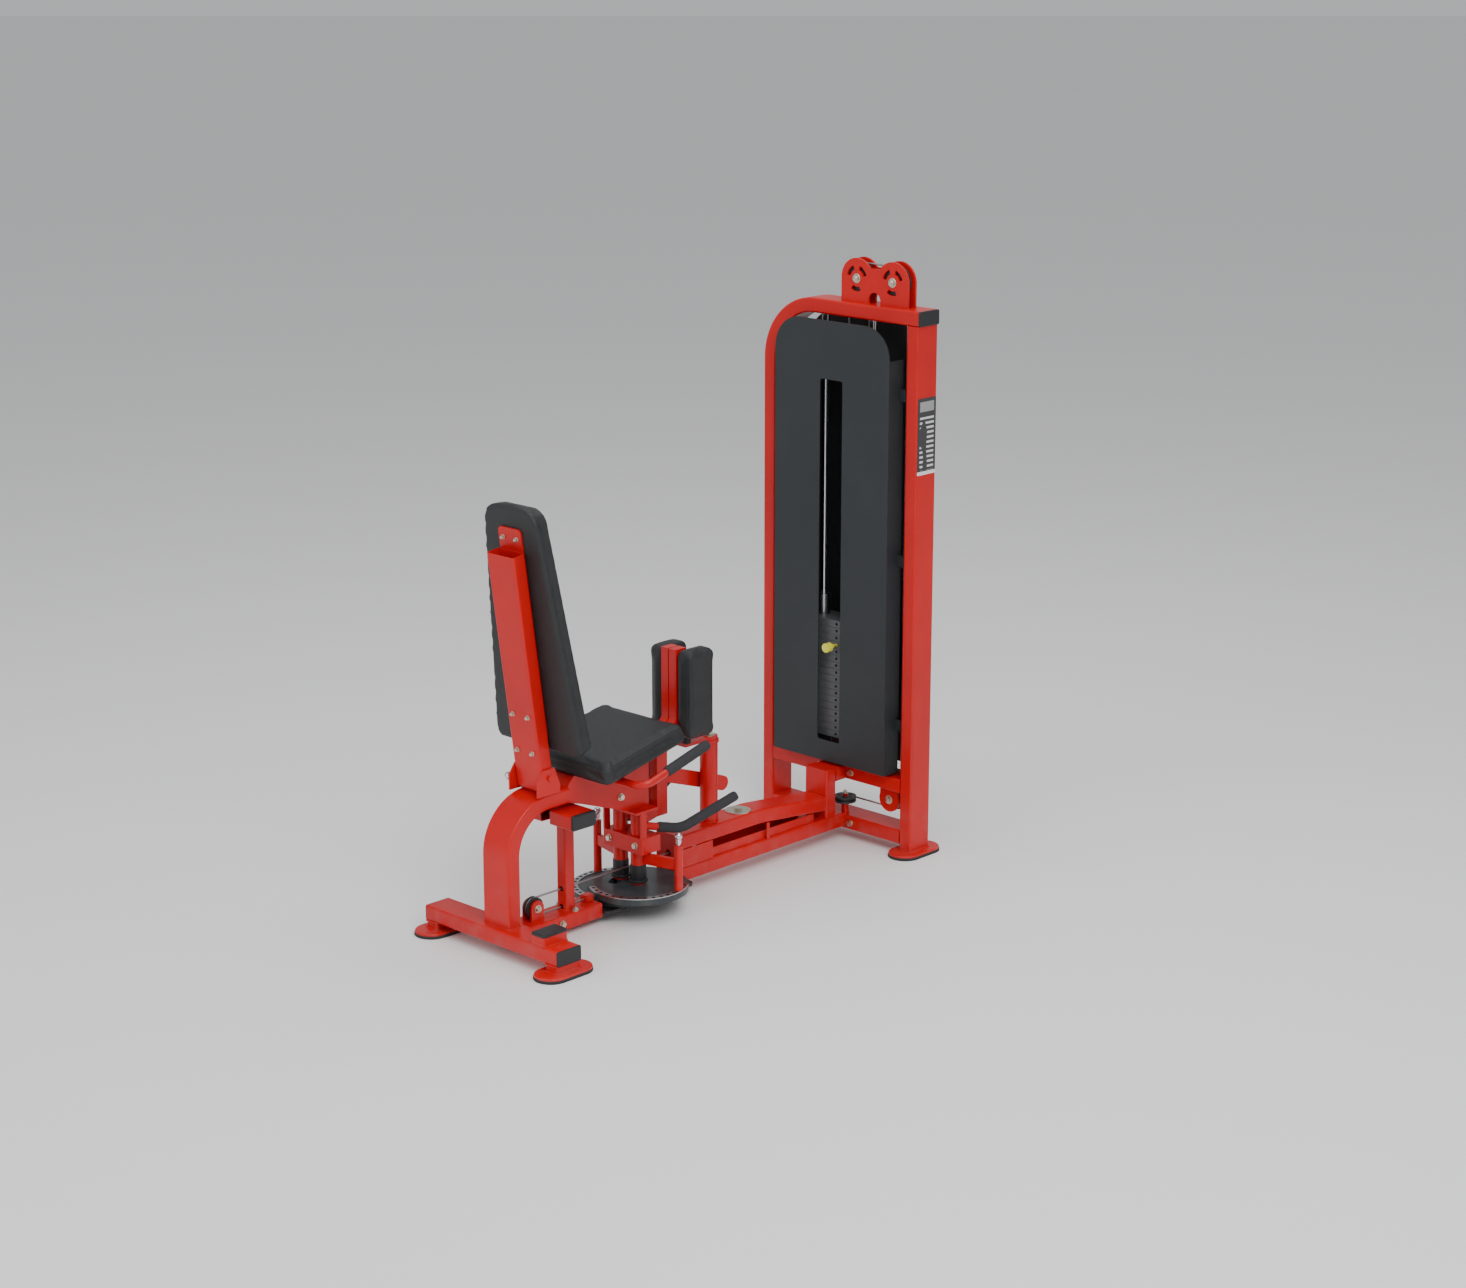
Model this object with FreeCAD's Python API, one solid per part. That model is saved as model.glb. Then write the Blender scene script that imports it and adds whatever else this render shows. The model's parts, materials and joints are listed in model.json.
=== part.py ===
import FreeCAD, Part
import math
import os

from FreeCAD import Vector

# Hip abductor machine. Millimetres. +X is the seated user's right, +Y is the way the user
# faces (towards the weight tower), +Z is up. The origin is on the floor, in the middle of
# the base.

# ---------------------------------------------------------------- driving dimensions
BASE_LENGTH = 1810.0        # outer ends of the rear and the front foot plates
TOWER_WIDTH = 686.0         # outer faces of the two tower legs
TOWER_HEIGHT = 1866.0       # top face of the top beam
REAR_WIDTH = 604.0          # rear crossbar, end to end

TUBE_DEEP = 100.0           # frame tube, long side
TUBE_THIN = 50.0            # frame tube, short side
WIDE_TUBE = 120.0           # curved post and back upright, long side
TUBE_WALL = 3.0
TUBE_CORNER = 7.0
BEND_INNER = 175.0          # inner radius of the tower's bent corner

FOOT_LENGTH = 210.0
FOOT_WIDTH = 114.0
FOOT_PLATE = 7.0
FOOT_RUBBER = 9.0

SHEET = 3.0                 # shroud sheet
PLATE = 8.0                 # bracket plate
RUN_GAP = 0.05              # radial clearance of a running fit
BODY_GAP = 1.0              # clearance between parts of different bodies

PIVOT_X = 40.0              # the two arm shafts stand at +-PIVOT_X
PIVOT_Y = -245.0
SHAFT_R = 15.0
SLEEVE_R = 24.0
CAM_R = 163.0
CAM_THICK = 20.0
CAM_SWING = 35.0            # degrees of working travel

SEAT_FRONT_WIDTH = 376.0
SEAT_REAR_WIDTH = 436.0
SEAT_LENGTH = 392.0
SEAT_THICK = 64.0
SEAT_TILT = 9.3             # degrees, front edge up
SEAT_FRONT_Y = -167.0
SEAT_FRONT_Z = 646.0

BACK_TILT = 8.0             # degrees, top leans to the rear
BACK_PAD_LENGTH = 794.0
BACK_PAD_THICK = 66.0
BACK_TOP_WIDTH = 226.0
BACK_BOTTOM_WIDTH = 392.0
BACK_HINGE_Y = -652.0
BACK_HINGE_Z = 545.0

PAD_THICK = 62.0            # thigh pads
PAD_DEPTH = 125.0
PAD_HEIGHT = 300.0
PAD_BOTTOM = 535.0
ARM_PLAY = 2.0              # half of the gap between the closed arms
ARM_THICK = 31.0
ARM_DEPTH = 47.0

PULLEY_R = 55.0
GROOVE_R = 50.0
PULLEY_THICK = 20.0
SMALL_PULLEY_R = 38.0
SMALL_GROOVE_R = 34.0
AXLE_R = 8.0
CABLE_R = 3.0
CABLE_HOLE_R = 12.0
TOP_PULLEY_SPACING = 156.0

PLATE_COUNT = 17            # plates in the weight stack
LIFTED_COUNT = 4            # plates above the selector pin, with the head plate
STACK_PLATE = 23.5
STACK_GAP = 1.0
STACK_WIDTH = 320.0
STACK_DEPTH = 100.0
GUIDE_X = 104.0
GUIDE_R = 14.0

GRIP_X = 250.0
GRIP_R = 12.5
FOAM_R = 16.5

# ---------------------------------------------------------------- derived positions
FLOOR_TOP = FOOT_RUBBER + FOOT_PLATE
TOWER_Y = BASE_LENGTH / 2 - FOOT_LENGTH / 2           # centre of the tower legs
TOWER_BACK = TOWER_Y - TUBE_DEEP / 2                  # the face towards the user
REAR_Y = -TOWER_Y                                     # centre of the rear crossbar
LEG_X = TOWER_WIDTH / 2 - TUBE_THIN / 2
BEAM_BOTTOM = TOWER_HEIGHT - TUBE_THIN
BASE_BAR_Z = 36.0                                     # underside of the tower's base crossbar
MID_BAR_Z = 217.0                                     # underside of the tower's mid crossbar
MID_BAR_TOP = MID_BAR_Z + TUBE_THIN
CABLE_Z = 140.0
CAM_LOW_Z = 46.0
CAM_GAP = 5.0
CAM_HIGH_Z = CAM_LOW_Z + CAM_THICK + CAM_GAP
SPINE_Z = 20.0
LOWER_RAIL_Z = 45.0
UPPER_RAIL_Z = 157.0
BEAM_FRONT = TOWER_BACK - TUBE_DEEP                   # rear face of the beam's end column
BEAM_REAR = -60.0
BASE_PLATE_Z = 35.0                                   # underside of the plate under the cams
DOWN_X = TOP_PULLEY_SPACING + 2 * GROOVE_R            # the cable's down run beside the stack


def save(name, *shapes):
    """Write one node; several shapes stay separate solids."""
    solids = [solid for shape in shapes for solid in shape.Solids]
    node = solids[0] if len(solids) == 1 else Part.makeCompound(solids)
    node.exportStep("parts/" + name + ".step")


# ---------------------------------------------------------------- shape helpers
def box(x0, x1, y0, y1, z0, z1):
    return Part.makeBox(x1 - x0, y1 - y0, z1 - z0, Vector(x0, y0, z0))


def rod(radius, start, end):
    start, end = Vector(*start), Vector(*end)
    return Part.makeCylinder(radius, (end - start).Length, start, end - start)


def ring(outer, inner, start, end):
    return rod(outer, start, end).cut(rod(inner, start, end))


def extrude(points, vector):
    """Prism on a flat polygon."""
    corners = [Vector(*point) for point in points]
    wire = Part.makePolygon(corners + [corners[0]])
    return Part.Face(wire).extrude(Vector(*vector))


def plate_yz(points, x0, x1):
    return extrude([(x0, y, z) for y, z in points], (x1 - x0, 0, 0))


def plate_xz(points, y0, y1):
    return extrude([(x, y0, z) for x, z in points], (0, y1 - y0, 0))


def plate_xy(points, z0, z1):
    return extrude([(x, y, z0) for x, y in points], (0, 0, z1 - z0))


def round_edges(shape, radius, along):
    """Fillet the straight edges that run along one axis."""
    axis = Vector(*along)
    chosen = []
    for edge in shape.Edges:
        if isinstance(edge.Curve, Part.Line) and edge.tangentAt(0).cross(axis).Length < 1e-6:
            chosen.append(edge)
    return shape.makeFillet(radius, chosen)


def route(points, radius):
    """Straight runs joined by tangent arcs of one radius."""
    points = [Vector(*point) for point in points]
    edges = []

    def straight(start, end):
        if (end - start).Length > 1e-6:
            edges.append(Part.LineSegment(start, end).toShape())

    last = points[0]
    for before, corner, after in zip(points, points[1:], points[2:]):
        into = (corner - before).normalize()
        out = (after - corner).normalize()
        half_turn = into.getAngle(out) / 2
        back = radius * math.tan(half_turn)
        first = corner - into * back
        second = corner + out * back
        inward = (out - into).normalize()
        middle = corner + inward * (radius / math.cos(half_turn) - radius)
        straight(last, first)
        edges.append(Part.Arc(first, middle, second).toShape())
        last = second
    straight(last, points[-1])
    return Part.Wire(edges)


def rounded_profile(centre, side, up, width, height, corner):
    """Closed wire of a rectangle with round corners, in the plane of side and up."""
    a, b = width / 2, height / 2
    diagonal = corner * (1 - math.sqrt(0.5))
    edges = []
    start = None
    for i, (sx, sy) in enumerate(((1, 1), (-1, 1), (-1, -1), (1, -1))):
        along_side = (sx * a, sy * (b - corner))
        along_up = (sx * (a - corner), sy * b)
        middle = (sx * (a - diagonal), sy * (b - diagonal))
        first, last = (along_side, along_up) if i % 2 == 0 else (along_up, along_side)
        arc = [centre + side * u + up * v for u, v in (first, middle, last)]
        if start is None:
            start = arc[0]
        else:
            edges.append(Part.LineSegment(previous, arc[0]).toShape())
        edges.append(Part.Arc(*arc).toShape())
        previous = arc[2]
    edges.append(Part.LineSegment(previous, start).toShape())
    return Part.Wire(edges)


def sweep(path, side, width, height, corner, bend):
    points = [Vector(*point) for point in path]
    side = Vector(*side)
    heading = (points[1] - points[0]).normalize()
    up = heading.cross(side).normalize()
    profile = rounded_profile(points[0], side, up, width, height, corner)
    if len(points) == 2:
        return Part.Face(profile).extrude(points[1] - points[0])
    return route(path, bend).makePipeShell([profile], True, False)


def frame_tube(path, side, width, height, bend=150.0):
    """Hollow rectangular tube: width runs along side, height across it; the ends are open."""
    outer = sweep(path, side, width, height, TUBE_CORNER, bend)
    points = [Vector(*point) for point in path]
    head = (points[0] - points[1]).normalize()
    tail = (points[-1] - points[-2]).normalize()
    inner_path = [tuple(points[0] + head)] + list(path[1:-1]) + [tuple(points[-1] + tail)]
    inner = sweep(inner_path, side, width - 2 * TUBE_WALL, height - 2 * TUBE_WALL,
                  TUBE_CORNER - TUBE_WALL, bend)
    return outer.cut(inner)


def round_tube(path, radius, bend, inner=0.0):
    """Round tube or bar along a route of straight runs and arcs."""
    start, heading = Vector(*path[0]), Vector(*path[1]) - Vector(*path[0])
    spine = route(path, bend)
    circle = Part.Wire(Part.makeCircle(radius, start, heading))
    shape = spine.makePipeShell([circle], True, False)
    if inner:
        hollow = Part.Wire(Part.makeCircle(inner, start, heading))
        shape = shape.cut(spine.makePipeShell([hollow], True, False))
    return shape


def stadium(cx, cy, width, length, z0, z1, edge=0.0):
    """Upright-sided oval plate with its long axis along Y."""
    r = width / 2
    half = length / 2 - r
    arcs = (Part.Arc(Vector(cx + r, cy + half, z0), Vector(cx, cy + half + r, z0),
                     Vector(cx - r, cy + half, z0)),
            Part.LineSegment(Vector(cx - r, cy + half, z0), Vector(cx - r, cy - half, z0)),
            Part.Arc(Vector(cx - r, cy - half, z0), Vector(cx, cy - half - r, z0),
                     Vector(cx + r, cy - half, z0)),
            Part.LineSegment(Vector(cx + r, cy - half, z0), Vector(cx + r, cy + half, z0)))
    solid = Part.Face(Part.Wire([arc.toShape() for arc in arcs])).extrude(Vector(0, 0, z1 - z0))
    if edge:
        top = [e for e in solid.Edges if abs(e.BoundBox.ZMin - z1) < 1e-6]
        solid = solid.makeFillet(edge, top)
    return solid


def hex_bolt(centre, axis, across, head, washer_r=0.0, washer=1.6):
    """Bolt head standing on a surface, with its washer, as one solid."""
    normal = Vector(*axis).normalize()
    sides = Vector(0, 0, 1) if abs(normal.z) < 0.9 else Vector(1, 0, 0)
    u = normal.cross(sides).normalize()
    v = normal.cross(u)
    base = Vector(*centre)
    seat = base + normal * (washer if washer_r else 0)
    corner = across / math.sqrt(3)
    points = []
    for i in range(6):
        angle = math.radians(60 * i)
        points.append(tuple(seat + u * corner * math.cos(angle) + v * corner * math.sin(angle)))
    shape = extrude(points, tuple(normal * head))
    if washer_r:
        shape = shape.fuse(Part.makeCylinder(washer_r, washer, base, normal)).removeSplitter()
    return shape


# ---------------------------------------------------------------- tower
def tower():
    side = (0, 1, 0)
    bend = BEND_INNER + TUBE_THIN / 2
    beam_z = TOWER_HEIGHT - TUBE_THIN / 2
    bent = frame_tube([(-LEG_X, TOWER_Y, FLOOR_TOP), (-LEG_X, TOWER_Y, beam_z),
                       (TOWER_WIDTH / 2, TOWER_Y, beam_z)], side, TUBE_DEEP, TUBE_THIN, bend)
    for x in (0, DOWN_X):
        bent = bent.cut(rod(CABLE_HOLE_R, (x, TOWER_Y, BEAM_BOTTOM - 1), (x, TOWER_Y, TOWER_HEIGHT + 1)))
    save("tower_bent_tube", bent)
    save("tower_right_leg", frame_tube(
        [(LEG_X, TOWER_Y, FLOOR_TOP), (LEG_X, TOWER_Y, BEAM_BOTTOM)], side, TUBE_DEEP, TUBE_THIN))
    inner = LEG_X - TUBE_THIN / 2
    for name, z in (("tower_base_crossbar", BASE_BAR_Z), ("tower_mid_crossbar", MID_BAR_Z)):
        middle = z + TUBE_THIN / 2
        bar = frame_tube([(-inner, TOWER_Y, middle), (inner, TOWER_Y, middle)],
                         side, TUBE_DEEP, TUBE_THIN)
        if z > CABLE_Z:
            bar = bar.cut(rod(CABLE_HOLE_R, (DOWN_X, TOWER_Y, z - 1), (DOWN_X, TOWER_Y, z + TUBE_THIN + 1)))
        save(name, bar)


def cap(centre, axis, width, height, reach, thick=6.0):
    """Black end cap: a rounded plate over a tube's end with a plug inside the tube.

    width runs along Y (along X for an upright tube), height along the third axis."""
    normal = Vector(*axis)
    side = Vector(1, 0, 0) if abs(normal.z) > 0.9 else Vector(0, 1, 0)
    up = normal.cross(side)
    start = Vector(*centre)
    plate = Part.Face(rounded_profile(start, side, up, width, height, TUBE_CORNER))
    plate = plate.extrude(normal * thick)
    rim = [e for e in plate.Edges if abs((e.BoundBox.Center - start).dot(normal) - thick) < 1e-6]
    plate = plate.makeFillet(thick / 2, rim)
    slack = 2 * (TUBE_WALL + 0.2)
    plug = Part.Face(rounded_profile(start - normal * reach, side, up, width - slack,
                                     height - slack, TUBE_CORNER - TUBE_WALL))
    return plate.fuse(plug.extrude(normal * reach)).removeSplitter()


def end_caps():
    beam_z = TOWER_HEIGHT - TUBE_THIN / 2
    caps = [cap((TOWER_WIDTH / 2, TOWER_Y, beam_z), (1, 0, 0), TUBE_DEEP, TUBE_THIN, 20)]
    caps.append(cap((STUB_X, REAR_Y, STUB_TOP), (0, 0, 1), STUB_WIDTH, TUBE_DEEP, 20, 10))
    for sign in (-1, 1):
        caps.append(cap((sign * CROSS_TUBE_X, CROSS_TUBE_Y, CROSS_TUBE_Z), (sign, 0, 0),
                        TUBE_DEEP, TUBE_THIN, 20, 10))
        caps.append(cap((sign * REAR_WIDTH / 2, REAR_Y, REAR_BAR_Z), (sign, 0, 0),
                        TUBE_DEEP, TUBE_THIN, 20, 4))
    save("end_caps", *caps)


# ---------------------------------------------------------------- shrouds
SHROUD_HALF = 254.0
SHROUD_BACK = TOWER_BACK - 38.0        # outer face of the rear-facing shroud
SHROUD_WRAP = 72.0                     # depth of its side flanges
SHROUD_BOTTOM = 278.0
SHROUD_TOP = TOWER_HEIGHT - 62.0
SHROUD_CORNER = 108.0
SLOT_HALF = 50.0
SLOT_BOTTOM = 351.0
SLOT_TOP = 1607.0


def shroud_outline(half, bottom, top, corner, y):
    """Panel outline with two round upper corners."""
    d = corner * (1 - math.sqrt(0.5))
    left_mid = Vector(-half + d, y, top - d)
    right_mid = Vector(half - d, y, top - d)
    return Part.Wire([
        Part.LineSegment(Vector(-half, y, bottom), Vector(-half, y, top - corner)).toShape(),
        Part.Arc(Vector(-half, y, top - corner), left_mid, Vector(-half + corner, y, top)).toShape(),
        Part.LineSegment(Vector(-half + corner, y, top), Vector(half - corner, y, top)).toShape(),
        Part.Arc(Vector(half - corner, y, top), right_mid, Vector(half, y, top - corner)).toShape(),
        Part.LineSegment(Vector(half, y, top - corner), Vector(half, y, bottom)).toShape(),
        Part.LineSegment(Vector(half, y, bottom), Vector(-half, y, bottom)).toShape()])


def shroud(face_y, inward, slotted):
    """Sheet panel with folded side flanges; inward is the way the flanges run along Y."""
    panel = Part.Face(shroud_outline(SHROUD_HALF, SHROUD_BOTTOM, SHROUD_TOP, SHROUD_CORNER, face_y))
    panel = panel.extrude(Vector(0, inward * SHEET, 0))
    if slotted:
        slot = box(-SLOT_HALF, SLOT_HALF, face_y - 10, face_y + 10, SLOT_BOTTOM, SLOT_TOP)
        panel = panel.cut(round_edges(slot, 8.0, (0, 1, 0)))
    low, high = sorted((face_y, face_y + inward * SHROUD_WRAP))
    flange_top = SHROUD_TOP - SHROUD_CORNER
    tab_y = face_y + inward * (SHROUD_WRAP - 18.0)
    for sign in (-1, 1):
        x0, x1 = sorted((sign * SHROUD_HALF, sign * (SHROUD_HALF - SHEET)))
        panel = panel.fuse(box(x0, x1, low, high, SHROUD_BOTTOM, flange_top))
        x0, x1 = sorted((sign * (SHROUD_HALF - SHEET), sign * (LEG_X - TUBE_THIN / 2)))
        for z in (430.0, 1000.0, 1560.0):
            panel = panel.fuse(box(x0, x1, tab_y, tab_y + SHEET, z, z + 40.0))
    return panel.removeSplitter()


def shrouds():
    save("front_shroud", shroud(SHROUD_BACK, 1, True))
    save("rear_shroud", shroud(TOWER_Y + TUBE_DEEP / 2 + 38.0, -1, False))
    half = 45.0
    leg_face = TOWER_WIDTH / 2
    placard = box(leg_face, leg_face + 1.0, TOWER_Y - half, TOWER_Y + half, TOWER_HEIGHT - 543, TOWER_HEIGHT - 287)
    save("instruction_placard", round_edges(placard, 4.0, (1, 0, 0)))


# ---------------------------------------------------------------- weight stack
STACK_FLOOR = MID_BAR_TOP + 88.0
STACK_PITCH = STACK_PLATE + STACK_GAP
STAYING = PLATE_COUNT - LIFTED_COUNT
PIN_HOLE_R = 5.5
ROD_R = 13.0


def stack_plate(z, front=True):
    plate = box(-STACK_WIDTH / 2, STACK_WIDTH / 2, TOWER_Y - STACK_DEPTH / 2,
                TOWER_Y + STACK_DEPTH / 2, z, z + STACK_PLATE)
    plate = round_edges(plate, 6.0, (0, 0, 1))
    for x, r in ((-GUIDE_X, GUIDE_R + BODY_GAP), (GUIDE_X, GUIDE_R + BODY_GAP), (0, ROD_R + BODY_GAP)):
        plate = plate.cut(rod(r, (x, TOWER_Y, z - 1), (x, TOWER_Y, z + STACK_PLATE + 1)))
    middle = z + STACK_PLATE / 2
    hole = rod(PIN_HOLE_R, (0, TOWER_Y - STACK_DEPTH / 2 - 1, middle), (0, TOWER_Y, middle))
    return plate.cut(hole)


def weight_stack():
    save("lower_plates", *[stack_plate(STACK_FLOOR + i * STACK_PITCH) for i in range(STAYING)])
    lifted_z = STACK_FLOOR + STAYING * STACK_PITCH
    plates = [stack_plate(lifted_z + i * STACK_PITCH) for i in range(LIFTED_COUNT)]
    save("lifted_plates", *plates)
    head = lifted_z + LIFTED_COUNT * STACK_PITCH
    pin_z = lifted_z + STACK_PLATE / 2
    reach = TOWER_Y - STACK_DEPTH / 2
    spindle = rod(ROD_R, (0, TOWER_Y, lifted_z - 330.0), (0, TOWER_Y, head))
    top_rod = rod(9.0, (0, TOWER_Y, head), (0, TOWER_Y, head + 70.0))
    collar = rod(20.0, (0, TOWER_Y, head - STACK_GAP), (0, TOWER_Y, head + 22.0))
    heights = [pin_z + i * STACK_PITCH for i in range(-STAYING, LIFTED_COUNT)]
    bores = [rod(PIN_HOLE_R, (0, reach - 1, z), (0, TOWER_Y + 40, z)) for z in heights]
    spindle = spindle.fuse([top_rod, collar]).removeSplitter().cut(Part.makeCompound(bores))
    bushes = [ring(22.0, GUIDE_R + RUN_GAP, (x, TOWER_Y, head - STACK_GAP), (x, TOWER_Y, head + 72.0))
              for x in (-GUIDE_X, GUIDE_X)]
    save("selector_rod", spindle, *bushes)
    # the pin's shank runs back through the plate; its knob stands in the shroud's slot
    knob_y = SHROUD_BACK - 18.0
    shank = rod(PIN_HOLE_R - 0.5, (0, knob_y, pin_z), (0, TOWER_Y - ROD_R + 22.0, pin_z))
    knob = rod(16.0, (0, knob_y, pin_z), (0, knob_y + 22.0, pin_z))
    neck = rod(9.0, (0, knob_y + 22.0, pin_z), (0, knob_y + 34.0, pin_z))
    save("selector_pin", shank.fuse([knob, neck]).removeSplitter())
    rods = [rod(GUIDE_R, (x, TOWER_Y, MID_BAR_TOP), (x, TOWER_Y, BEAM_BOTTOM))
            for x in (-GUIDE_X, GUIDE_X)]
    save("guide_rods", *rods)


def rubber_bumpers():
    """Ring cushions under the stack, and the block that the closed pads rest against."""
    rings = [ring(32.0, GUIDE_R + 0.5, (x, TOWER_Y, MID_BAR_TOP), (x, TOWER_Y, STACK_FLOOR))
             for x in (-GUIDE_X, GUIDE_X)]
    stop = box(-26, 26, STOP_END, STOP_END + 20, STOP_Z + 12, PAD_BOTTOM - 3)
    save("rubber_bumpers", *rings, round_edges(stop, 3.0, (0, 0, 1)))


# ---------------------------------------------------------------- pulleys and cable
TOP_PULLEY_Z = 1945.0
LEFT_PULLEY_X = GROOVE_R                # the cable drops at X = 0
RIGHT_PULLEY_X = LEFT_PULLEY_X + TOP_PULLEY_SPACING
LOWER_PULLEY_X = DOWN_X - SMALL_GROOVE_R
LOWER_PULLEY_Z = CABLE_Z + SMALL_GROOVE_R
TURN_X = SMALL_GROOVE_R                 # horizontal pulley, upright axle
TURN_Y = TOWER_Y - SMALL_GROOVE_R
REAR_PULLEY_Y = -668.0
REAR_GROOVE_R = 30.0
REAR_PULLEY_R = 34.0
REAR_PULLEY_Z = CABLE_Z - REAR_GROOVE_R
CABLE_END_Y = PIVOT_Y - CAM_R - 14.0
ANCHOR_Y = CABLE_END_Y - 30.0           # the cable's clamp on the rear spine
LOBE_R = 67.0
BRACKET_GAP = 14.0                      # bracket plate to the pulley's middle


def pulley(centre, axis, outer, groove, thick, axle):
    """Grooved wheel on its axle, with a hub."""
    middle, normal = Vector(*centre), Vector(*axis)
    start = middle - normal * (thick / 2)
    wheel = Part.makeCylinder(outer, thick, start, normal)
    half = CABLE_R + 0.5
    channel = Part.makeCylinder(outer + 1, 2 * half, middle - normal * half, normal)
    channel = channel.cut(Part.makeCylinder(groove, 2 * half, middle - normal * half, normal))
    wheel = wheel.cut(channel).cut(Part.makeTorus(groove, half, middle, normal))
    for i in range(5):
        angle = math.radians(72 * i)
        turn = FreeCAD.Rotation(normal, math.degrees(angle))
        ref = Vector(0, 0, 1) if abs(normal.z) < 0.5 else Vector(1, 0, 0)
        spot = start - normal + turn.multVec(ref) * (groove * 0.62)
        wheel = wheel.cut(Part.makeCylinder(groove * 0.17, thick + 2, spot, normal))
    return wheel.cut(Part.makeCylinder(axle + RUN_GAP, thick + 2, start - normal, normal))


def pulleys():
    along_y, along_x, up = (0, 1, 0), (1, 0, 0), (0, 0, 1)
    save("top_left_pulley", pulley((LEFT_PULLEY_X, TOWER_Y, TOP_PULLEY_Z), along_y,
                                   PULLEY_R, GROOVE_R, PULLEY_THICK, AXLE_R))
    save("top_right_pulley", pulley((RIGHT_PULLEY_X, TOWER_Y, TOP_PULLEY_Z), along_y,
                                    PULLEY_R, GROOVE_R, PULLEY_THICK, AXLE_R))
    save("lower_pulley", pulley((LOWER_PULLEY_X, TOWER_Y, LOWER_PULLEY_Z), along_y,
                                SMALL_PULLEY_R, SMALL_GROOVE_R, PULLEY_THICK, AXLE_R))
    save("turn_pulley", pulley((TURN_X, TURN_Y, CABLE_Z), up,
                               SMALL_PULLEY_R, SMALL_GROOVE_R, PULLEY_THICK, AXLE_R))
    save("rear_pulley", pulley((0, REAR_PULLEY_Y, REAR_PULLEY_Z), along_x,
                               REAR_PULLEY_R, REAR_GROOVE_R, PULLEY_THICK, AXLE_R))


def kidney(cx, cz, radius, width, start, sweep_angle, y0, y1):
    """Curved slot about an axle, as a cutter."""
    ring_part = Part.makeCylinder(radius + width / 2, y1 - y0, Vector(cx, y0, cz), Vector(0, 1, 0))
    ring_part = ring_part.cut(Part.makeCylinder(radius - width / 2, y1 - y0, Vector(cx, y0, cz),
                                                Vector(0, 1, 0)))
    far = radius * 2
    points = [(cx, cz)]
    for i in range(5):
        angle = math.radians(start + sweep_angle * i / 4)
        points.append((cx + far * math.cos(angle), cz + far * math.sin(angle)))
    return ring_part.common(plate_xz(points, y0, y1))


def eight_plate(y0, y1):
    """Figure-eight bracket plate on the beam's top, with an arched foot and kidney slots."""
    shape = None
    for x in (LEFT_PULLEY_X, RIGHT_PULLEY_X):
        lobe = rod(LOBE_R, (x, y0, TOP_PULLEY_Z), (x, y1, TOP_PULLEY_Z))
        shape = lobe if shape is None else shape.fuse(lobe)
        shape = shape.fuse(box(x - LOBE_R, x + LOBE_R, y0, y1, TOWER_HEIGHT, TOP_PULLEY_Z))
    middle = (LEFT_PULLEY_X + RIGHT_PULLEY_X) / 2
    shape = shape.fuse(box(LEFT_PULLEY_X, RIGHT_PULLEY_X, y0, y1, TOWER_HEIGHT, TOP_PULLEY_Z + 38))
    shape = shape.cut(rod(26.0, (middle, y0 - 1, TOWER_HEIGHT + 12), (middle, y1 + 1, TOWER_HEIGHT + 12)))
    shape = shape.cut(box(middle - 26, middle + 26, y0 - 1, y1 + 1, TOWER_HEIGHT - 1, TOWER_HEIGHT + 12))
    for x in (LEFT_PULLEY_X, RIGHT_PULLEY_X):
        for start in (15, 110, 235):
            shape = shape.cut(kidney(x, TOP_PULLEY_Z, 36.0, 15.0, start, 58, y0 - 1, y1 + 1))
    return shape.removeSplitter()


def axle(centre, axis, length):
    middle, normal = Vector(*centre), Vector(*axis)
    return Part.makeCylinder(AXLE_R, length, middle - normal * (length / 2), normal)


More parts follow.
